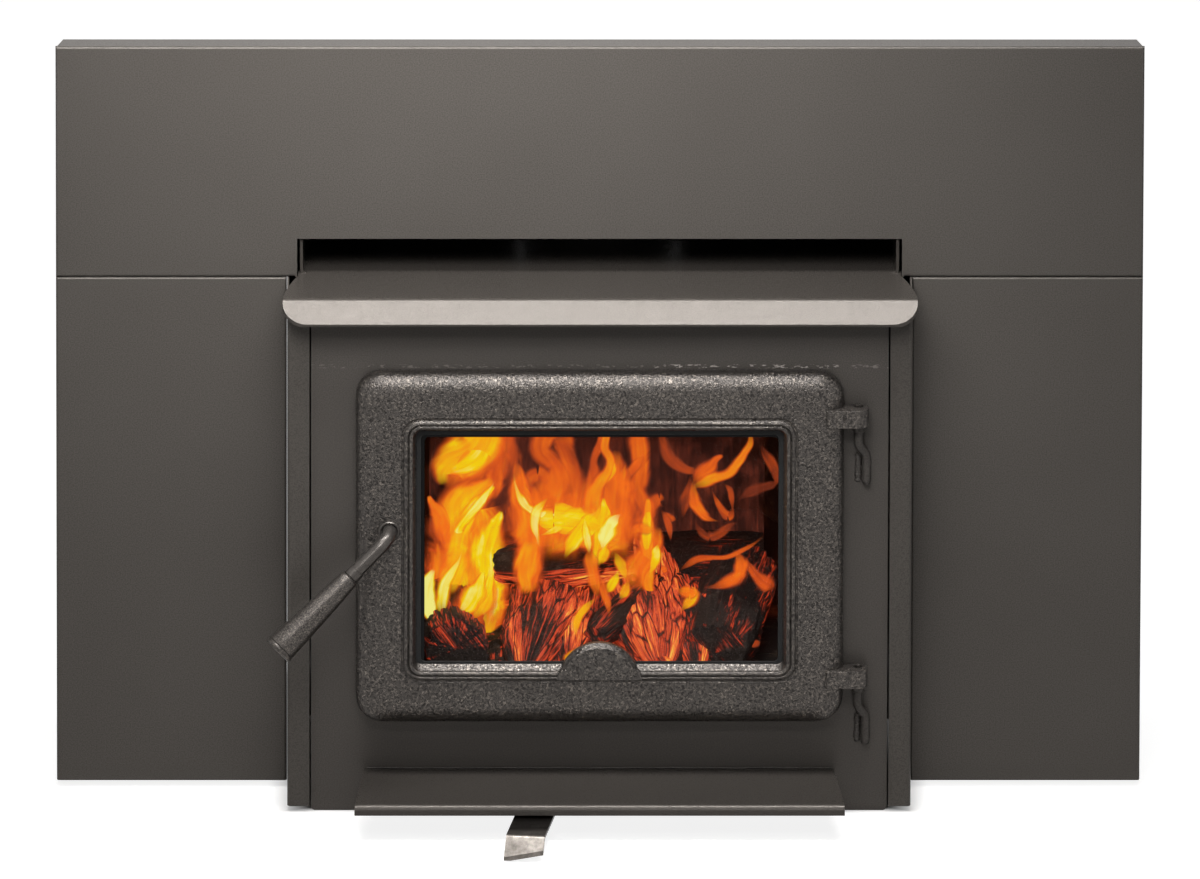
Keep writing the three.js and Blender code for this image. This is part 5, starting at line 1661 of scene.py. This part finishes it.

# each flame, listed one by one: its depth y, its heat, how opaque it is, and (x, z, width) up its middle line, in
# mm

flames = [
    (292, 0.06, 0.85, ((0, 58, 339), (0, 155, 380), (0, 219, 380), (0, 273, 370), (0, 311, 339))),
    (270, 0.13, 0.80, ((-26, 118, 123), (-23, 161, 154), (-27, 215, 170), (-31, 269, 164), (-35, 314, 134))),
    (270, 0.11, 0.62, ((-98, 118, 62), (-90, 183, 82), (-86, 237, 76), (-82, 291, 72), (-78, 314, 62))),
    (128, 0.66, 0.95, (
        (-138, 81, 51), (-136, 114, 68), (-138, 152, 76), (-138, 193, 78), (-138, 228, 74), (-136, 258, 60),
        (-123, 277, 35), (-113, 290, 14),
    )),
    (132, 0.60, 0.90, (
        (-152, 280, 21), (-144, 295, 37), (-130, 310, 49), (-117, 328, 51), (-109, 345, 49), (-107, 364, 47),
    )),
    (76, 0.58, 0.85, ((-53, 222, 62), (-49, 248, 86), (-41, 274, 99), (-35, 298, 82), (-35, 336, 8))),
    (75, 0.62, 0.85, ((12, 223, 41), (14, 248, 58), (14, 276, 56), (16, 302, 41), (19, 341, 8))),
    (30, 0.55, 0.80, ((-134, 150, 31), (-130, 174, 41), (-127, 196, 37), (-123, 215, 21))),
    (20, 0.74, 0.90, ((-74, 205, 14), (-76, 225, 21), (-72, 244, 23), (-68, 261, 16))),
    (10, 0.66, 0.85, ((-2, 200, 8), (-4, 221, 14), (-8, 241, 14), (-10, 256, 8))),
    (120, 0.80, 0.97, (
        (-136, 88, 35), (-130, 122, 53), (-130, 160, 62), (-131, 198, 62), (-130, 230, 64), (-134, 252, 62),
        (-136, 268, 47), (-127, 280, 35), (-116, 289, 23), (-110, 297, 10),
    )),
    (112, 0.98, 0.95, (
        (-119, 116, 19), (-115, 152, 31), (-113, 189, 35), (-114, 220, 35), (-109, 241, 27), (-103, 255, 12),
        (-100, 264, 4),
    )),
    (108, 0.92, 0.95, (
        (-145, 126, 21), (-145, 169, 27), (-146, 207, 29), (-144, 234, 25), (-138, 253, 21), (-127, 268, 14),
        (-115, 283, 8), (-107, 292, 4),
    )),
    (104, 1.05, 0.90, (
        (-142, 207, 4), (-143, 226, 7), (-144, 244, 8), (-136, 259, 10), (-123, 274, 9), (-112, 289, 5),
        (-106, 300, 3),
    )),
    (116, 0.66, 0.92, ((-152, 218, 14), (-157, 240, 21), (-164, 259, 19), (-171, 269, 10), (-175, 279, 3))),
    (114, 0.84, 0.96, (
        (-158, 292, 12), (-161, 305, 23), (-152, 316, 37), (-138, 322, 45), (-125, 332, 43), (-119, 344, 41),
        (-117, 357, 41), (-117, 368, 35),
    )),
    (110, 0.97, 0.85, (
        (-152, 309, 10), (-138, 316, 21), (-125, 324, 25), (-120, 337, 19), (-130, 347, 14), (-132, 362, 12),
    )),
    (124, 0.52, 0.92, (
        (-109, 272, 8), (-107, 291, 21), (-102, 311, 27), (-99, 330, 27), (-98, 347, 25), (-98, 365, 23),
    )),
    (69, 0.40, 0.62, ((-97, 300, 8), (-90, 317, 16), (-88, 334, 16), (-89, 354, 12), (-88, 375, 8))),
    (30, 1.10, 0.97, (
        (-172, 170, 6), (-175, 181, 14), (-178, 194, 21), (-178, 204, 21), (-175, 215, 14), (-170, 226, 4),
    )),
    (26, 1.02, 0.95, (
        (-159, 173, 6), (-162, 186, 12), (-161, 199, 12), (-158, 212, 10), (-151, 225, 8), (-144, 238, 4),
        (-140, 251, 2),
    )),
    (60, 0.80, 0.85, ((-164, 195, 21), (-154, 211, 27), (-146, 227, 27), (-144, 243, 16))),
    (22, 0.97, 0.95, ((-142, 183, 6), (-134, 190, 19), (-127, 203, 23), (-123, 213, 12), (-119, 226, 3))),
    (24, 0.90, 0.92, (
        (-131, 172, 10), (-123, 183, 14), (-117, 195, 14), (-114, 208, 9), (-111, 223, 6), (-109, 239, 3),
    )),
    (34, 0.70, 0.85, ((-114, 169, 8), (-113, 186, 12), (-111, 203, 10), (-108, 220, 6))),
    (16, 0.62, 0.90, ((-154, 139, 4), (-155, 155, 8), (-155, 170, 10), (-157, 183, 5))),
    (18, 0.42, 0.85, ((-167, 148, 8), (-164, 161, 19), (-158, 169, 19), (-152, 178, 8))),
    (75, 0.62, 0.95, (
        (-73, 184, 19), (-71, 203, 27), (-70, 227, 31), (-70, 251, 39), (-73, 274, 39), (-78, 294, 31),
        (-82, 311, 16), (-85, 328, 5),
    )),
    (74, 0.93, 0.92, ((-71, 199, 8), (-70, 221, 16), (-69, 244, 21), (-70, 266, 23), (-67, 281, 19))),
    (72, 0.90, 0.95, (
        (-72, 267, 14), (-57, 268, 29), (-39, 268, 35), (-21, 266, 35), (-2, 262, 37), (12, 260, 39),
        (23, 262, 16),
    )),
    (73, 0.72, 0.90, (
        (-57, 236, 25), (-39, 245, 27), (-21, 249, 29), (0, 247, 31), (19, 245, 25), (31, 236, 10),
    )),
    (68, 1.05, 0.80, (
        (-88, 322, 3), (-86, 307, 5), (-81, 292, 8), (-73, 281, 9), (-60, 274, 9), (-41, 273, 9),
        (-23, 274, 8), (-10, 275, 4),
    )),
    (67, 1.00, 0.80, ((-61, 251, 3), (-49, 256, 7), (-35, 264, 8), (-24, 270, 8), (-14, 275, 4))),
    (67, 1.05, 0.80, (
        (-61, 238, 5), (-64, 251, 8), (-66, 264, 8), (-64, 277, 9), (-58, 285, 9), (-51, 293, 4),
    )),
    (66, 1.02, 0.80, ((-9, 231, 4), (-11, 244, 7), (-13, 258, 7), (-14, 271, 4))),
    (65, 1.12, 0.97, ((4, 234, 4), (6, 245, 12), (10, 258, 16), (16, 269, 12), (24, 275, 3))),
    (67, 0.96, 0.95, ((-35, 225, 6), (-29, 240, 14), (-21, 255, 16), (-10, 268, 14), (0, 277, 8))),
    (68, 0.88, 0.90, ((-2, 218, 8), (1, 233, 14), (4, 251, 21), (4, 268, 23), (6, 281, 14), (4, 292, 6))),
    (70, 0.70, 0.85, (
        (-4, 267, 25), (-6, 289, 23), (0, 306, 16), (9, 319, 12), (12, 332, 10), (7, 345, 10), (8, 358, 9),
        (12, 373, 7),
    )),
    (68, 0.84, 0.80, ((0, 298, 4), (8, 309, 7), (14, 320, 8), (12, 333, 7), (7, 343, 5))),
    (78, 0.52, 0.80, (
        (-56, 280, 16), (-47, 295, 27), (-41, 312, 27), (-47, 327, 23), (-58, 340, 21), (-56, 357, 27),
        (-45, 370, 23),
    )),
    (77, 0.46, 0.72, (
        (-16, 265, 10), (-21, 287, 14), (-23, 308, 16), (-29, 328, 16), (-35, 345, 19), (-41, 362, 21),
    )),
    (77, 0.56, 0.78, (
        (-68, 278, 6), (-74, 293, 10), (-72, 308, 12), (-62, 315, 14), (-51, 306, 12), (-49, 293, 6),
    )),
    (76, 0.44, 0.70, ((-57, 319, 5), (-47, 328, 8), (-41, 319, 8), (-39, 308, 4))),
    (76, 0.50, 0.75, ((-17, 280, 7), (-23, 289, 9), (-30, 290, 9), (-34, 283, 7), (-31, 275, 4))),
    (79, 0.50, 0.80, ((-14, 264, 21), (-8, 286, 21), (-4, 308, 16), (-6, 327, 10), (0, 344, 8), (4, 361, 6))),
    (79, 0.55, 0.85, (
        (21, 243, 16), (25, 264, 21), (31, 286, 19), (29, 301, 16), (19, 312, 14), (12, 327, 10),
    )),
    (75, 0.60, 0.85, ((29, 281, 12), (28, 294, 14), (23, 304, 12), (19, 313, 6))),
    (80, 0.52, 0.85, (
        (37, 234, 25), (45, 255, 29), (51, 273, 25), (45, 288, 19), (41, 301, 19), (43, 322, 21),
        (42, 344, 19), (41, 363, 19), (42, 378, 14),
    )),
    (75, 0.56, 0.80, ((23, 302, 5), (31, 315, 8), (39, 326, 8), (47, 335, 4))),
    (70, 0.72, 0.92, (
        (57, 181, 6), (51, 200, 14), (50, 224, 19), (51, 244, 16), (51, 263, 12), (51, 282, 8), (51, 291, 3),
    )),
    (68, 0.90, 0.80, ((52, 225, 4), (50, 241, 8), (50, 257, 9), (51, 274, 7), (51, 286, 3))),
    (71, 0.62, 0.85, ((37, 191, 21), (41, 211, 31), (49, 226, 31), (57, 237, 21), (61, 260, 8))),
    (64, 0.94, 0.92, ((52, 207, 4), (58, 222, 9), (60, 235, 8), (62, 243, 3))),
    (65, 0.60, 0.75, ((33, 252, 6), (41, 260, 10), (51, 258, 10), (59, 258, 3))),
    (60, 0.88, 0.90, ((2, 221, 6), (6, 232, 10), (8, 242, 8))),
    (59, 0.80, 0.80, ((17, 236, 5), (22, 225, 9), (26, 215, 8), (29, 204, 3))),
    (12, 0.90, 0.92, ((7, 206, 5), (12, 212, 9), (17, 221, 8), (21, 232, 3))),
    (40, 0.80, 0.90, ((22, 190, 4), (26, 197, 10), (29, 204, 9), (31, 212, 3))),
    (10, 0.58, 0.80, ((11, 180, 4), (10, 193, 7), (6, 206, 8), (2, 219, 8), (-2, 228, 4))),
    (-12, 0.86, 0.92, ((-23, 164, 3), (-23, 177, 7), (-20, 189, 9), (-12, 200, 8), (-2, 209, 5))),
    (-26, 0.92, 0.92, ((-35, 129, 6), (-29, 142, 16), (-25, 151, 14), (-21, 162, 4))),
    (172, 0.74, 0.92, (
        (98, 263, 4), (102, 272, 12), (111, 276, 12), (123, 281, 10), (136, 287, 9), (146, 298, 8),
        (153, 309, 8), (158, 319, 8), (158, 330, 6), (158, 345, 4),
    )),
    (176, 0.54, 0.88, ((101, 273, 10), (107, 284, 19), (115, 292, 19), (122, 300, 10), (130, 304, 3))),
    (174, 0.62, 0.90, (
        (100, 280, 4), (99, 265, 10), (102, 252, 11), (109, 241, 9), (117, 235, 7), (127, 232, 2),
    )),
    (180, 0.46, 0.70, (
        (117, 267, 2), (122, 256, 4), (127, 246, 6), (134, 237, 8), (139, 241, 6), (140, 250, 3),
    )),
    (178, 0.40, 0.70, ((140, 242, 4), (139, 257, 5), (137, 266, 5), (131, 272, 4))),
    (184, 0.40, 0.72, (
        (64, 335, 10), (67, 318, 12), (74, 300, 12), (86, 288, 10), (101, 284, 6), (109, 288, 3),
    )),
    (186, 0.34, 0.62, ((88, 231, 6), (91, 248, 9), (95, 263, 8), (96, 280, 3))),
    (182, 0.46, 0.75, ((76, 208, 3), (75, 219, 5), (72, 232, 7), (66, 243, 5))),
    (182, 0.44, 0.75, ((69, 241, 4), (74, 234, 7), (82, 231, 4))),
    (188, 0.50, 0.80, ((56, 237, 10), (59, 249, 13), (64, 254, 10), (70, 252, 6))),
    (190, 0.34, 0.60, ((169, 312, 8), (175, 299, 9), (183, 286, 9), (186, 273, 7), (181, 265, 3))),
    (190, 0.28, 0.55, ((144, 249, 4), (156, 258, 8), (169, 264, 10), (181, 268, 8), (189, 275, 4))),
    (184, 0.34, 0.60, (
        (100, 232, 4), (105, 221, 7), (115, 213, 8), (125, 216, 8), (136, 225, 8), (146, 229, 4),
    )),
    (186, 0.30, 0.50, ((115, 220, 4), (119, 211, 5), (125, 209, 4))),
    (20, 0.50, 0.80, (
        (83, 227, 3), (90, 233, 7), (101, 240, 7), (115, 242, 5), (132, 243, 5), (148, 250, 5),
        (160, 257, 4), (171, 267, 3),
    )),
    (18, 0.60, 0.92, (
        (137, 252, 4), (144, 245, 10), (147, 234, 13), (144, 223, 13), (135, 217, 12), (121, 212, 10),
        (107, 210, 4),
    )),
    (22, 0.46, 0.85, (
        (146, 241, 5), (154, 233, 8), (160, 224, 9), (169, 215, 12), (177, 211, 16), (182, 207, 12),
    )),
    (-4, 0.80, 0.92, ((84, 191, 3), (90, 198, 9), (96, 206, 12), (97, 214, 12), (97, 219, 5))),
    (-10, 0.66, 0.90, ((80, 217, 8), (88, 215, 12), (97, 215, 10), (102, 219, 4))),
    (30, 0.40, 0.70, ((156, 142, 4), (162, 146, 8), (168, 148, 4))),
    (30, 0.55, 0.80, ((64, 224, 4), (68, 226, 7), (71, 228, 3))),
]


def makeFlames():
    bm = bmesh.new()
    names = ("flameSeed", "flameHeat", "flameVeil", "flameEdge")
    seedLayer, heatLayer, veilLayer, edgeLayer = (bm.verts.layers.float.new(name) for name in names)
    uv = bm.loops.layers.uv.new("flow")
    for index, (depth, heat, veil, spine) in enumerate(flames):
        widest = max(p[2] for p in spine)
        thin = widest <= flameLook["thinUpTo"]
        spread = flameLook["thinSpread"] if thin else flameLook["spread"]
        columns = 14 if widest > 12 else 8
        points = smoothPath(spine, 9)
        whole = sum((b.xy - a.xy).length for a, b in zip(points, points[1:]))
        travelled, grid = 0.0, []
        for r, point in enumerate(points):
            ahead = points[min(r + 1, len(points) - 1)] - points[max(r - 1, 0)]
            across = Vector((-ahead.y, ahead.x)).normalized()
            if across.x > 0:
                across = -across
            if r:
                travelled += (point.xy - points[r - 1].xy).length
            v = r / (len(points) - 1)
            wide = max(1.2, point.z * spread)
            soft = 0.34 if thin else 0.05 + min(0.3, 0.4 * wide / whole)
            fade = min(1.0, v / soft, (1 - v) / soft)
            fade = fade * fade * (3 - 2 * fade)
            if thin:
                wide *= 0.3 + 0.7 * fade
            wobble = 3.5 * noise.noise(Vector((travelled / 42, index * 1.9, 0.0)))
            row = []
            for c in range(columns + 1):
                u = c / columns
                off = (u - 0.5) * wide + 0.10 * wide * noise.noise(
                    Vector((travelled / 21, index * 2.3, 4.0 * round(u)))
                )
                cup = (1 - (2 * u - 1) ** 2) * min(flameLook["cup"], wide * 0.16)
                x = point.x - across.x * off
                z = min(point.y - across.y * off, flameLook["ceiling"])
                vert = bm.verts.new((x * mm, (depth - cup + wobble) * mm, z * mm))
                vert[seedLayer] = index * 3.37
                vert[heatLayer] = heat
                vert[veilLayer] = veil * max(0.0, fade)
                vert[edgeLayer] = 1 - abs(2 * u - 1)
                row.append((vert, (off * mm, travelled * mm)))
            grid.append(row)
        for r in range(len(grid) - 1):
            for c in range(columns):
                corners = (grid[r][c], grid[r][c + 1], grid[r + 1][c + 1], grid[r + 1][c])
                face = bm.faces.new([p[0] for p in corners])
                for loop, (vert, place) in zip(face.loops, corners):
                    loop[uv].uv = place
    piece = meshFrom(bm, "flames", finishes["flame"])
    return finishPiece(piece, "body", (), 180)


makeFlames()
print("flames:", len(flames))

# stage


def floorMaterial():  # pale matt floor: the camera sees it as white, and it still takes the object's shadow
    material, tree, shader, place = startMaterial("paleFloor", Roughness=0.9)
    shader.inputs["Base Color"].default_value = linear(studio["floorColour"])
    shader.inputs["Specular IOR Level"].default_value = 0.0
    path = addNode(tree, "ShaderNodeLightPath")
    seen = calc(tree, "MAXIMUM", path.outputs["Is Camera Ray"], path.outputs["Is Transmission Ray"])
    seen = calc(tree, "MAXIMUM", seen, path.outputs["Is Glossy Ray"])
    lampX, lampY, lampZ = studio["topLight"]["place"]
    away = addNode(
        tree, "ShaderNodeVectorMath", {0: place, 1: (lampX, lampY, 0.0)}, operation="DISTANCE"
    ).outputs["Value"]
    near, far = studio["liftReach"]
    low, high = studio["floorLift"]
    amount = stretch(tree, away, near, far, low, high, True)
    parts = addNode(tree, "ShaderNodeSeparateXYZ", {"Vector": place})
    # no lift under the insert itself
    beside = stretch(tree, calc(tree, "ABSOLUTE", parts.outputs["X"]), 0.30, 0.34)
    ahead = stretch(tree, parts.outputs["Y"], -0.07, -0.09)
    behind = stretch(tree, parts.outputs["Y"], 0.36, 0.40)
    clear = calc(tree, "MAXIMUM", beside, calc(tree, "MAXIMUM", ahead, behind))
    strength = calc(tree, "MULTIPLY", calc(tree, "MULTIPLY", seen, amount), clear)
    lift = addNode(tree, "ShaderNodeEmission", {"Color": (1.0, 1.0, 1.0, 1.0), "Strength": strength})
    both = addNode(tree, "ShaderNodeAddShader", {0: shader.outputs[0], 1: lift.outputs[0]})
    tree.links.new(both.outputs[0], tree.nodes["Material Output"].inputs["Surface"])
    return material


def makeStage():
    bm = bmesh.new()
    half = studio["floorSize"]
    corners = [bm.verts.new((x * half, y * half, 0.0)) for x, y in ((-1, -1), (1, -1), (1, 1), (-1, 1))]
    bm.faces.new(corners)
    floor = linked(meshFrom(bm, "studioFloor", floorMaterial()))

    world = bpy.data.worlds.new("studioWorld")
    bpy.context.scene.world = world
    world.use_nodes = True
    tree = world.node_tree
    path = addNode(tree, "ShaderNodeLightPath")
    seen = calc(tree, "MAXIMUM", path.outputs["Is Camera Ray"], path.outputs["Is Transmission Ray"])
    seen = calc(tree, "MAXIMUM", seen, path.outputs["Is Glossy Ray"])
    strength = stretch(tree, seen, 0.0, 1.0, studio["ambient"], 1.0)
    background = tree.nodes["Background"]
    background.inputs["Color"].default_value = (1.0, 1.0, 1.0, 1.0)
    tree.links.new(strength, background.inputs["Strength"])

    for name in ("topLight", "stripLight", "doorLight", "keyLight", "fillLight"):
        look = studio[name]
        lamp = bpy.data.lights.new(name, "AREA")
        lamp.shape = "RECTANGLE"
        lamp.size, lamp.size_y = look["size"]
        lamp.energy = look["power"]
        lamp.spread = math.radians(look["spread"])
        holder = linked(bpy.data.objects.new(name, lamp))
        holder.location = look["place"]
        aim = Vector(look["aim"]) - Vector(look["place"])
        holder.rotation_euler = aim.to_track_quat("-Z", "Y").to_euler()


def makeCamera():
    data = bpy.data.cameras.new("view")
    data.lens = camera["lens"]
    data.sensor_width = 36
    data.clip_start = 1.0
    data.clip_end = 100.0
    azimuth, elevation = math.radians(camera["azimuth"]), math.radians(camera["elevation"])
    back = Vector(
        (
            math.sin(azimuth) * math.cos(elevation),
            -math.cos(azimuth) * math.cos(elevation),
            math.sin(elevation),
        )
    )
    right = Vector((math.cos(azimuth), math.sin(azimuth), 0.0))
    up = back.cross(right)
    target = Vector(camera["target"]) - up * camera["drop"]
    holder = linked(bpy.data.objects.new("view", data))
    turn = Matrix((right, up, back)).transposed() @ Matrix.Rotation(math.radians(camera["roll"]), 3, "Z")
    holder.rotation_euler = turn.to_euler()
    holder.location = target + back * camera["distance"]
    bpy.context.scene.camera = holder


makeStage()
makeCamera()
bpy.context.scene.view_settings.view_transform = "Standard"
print("stage and camera")
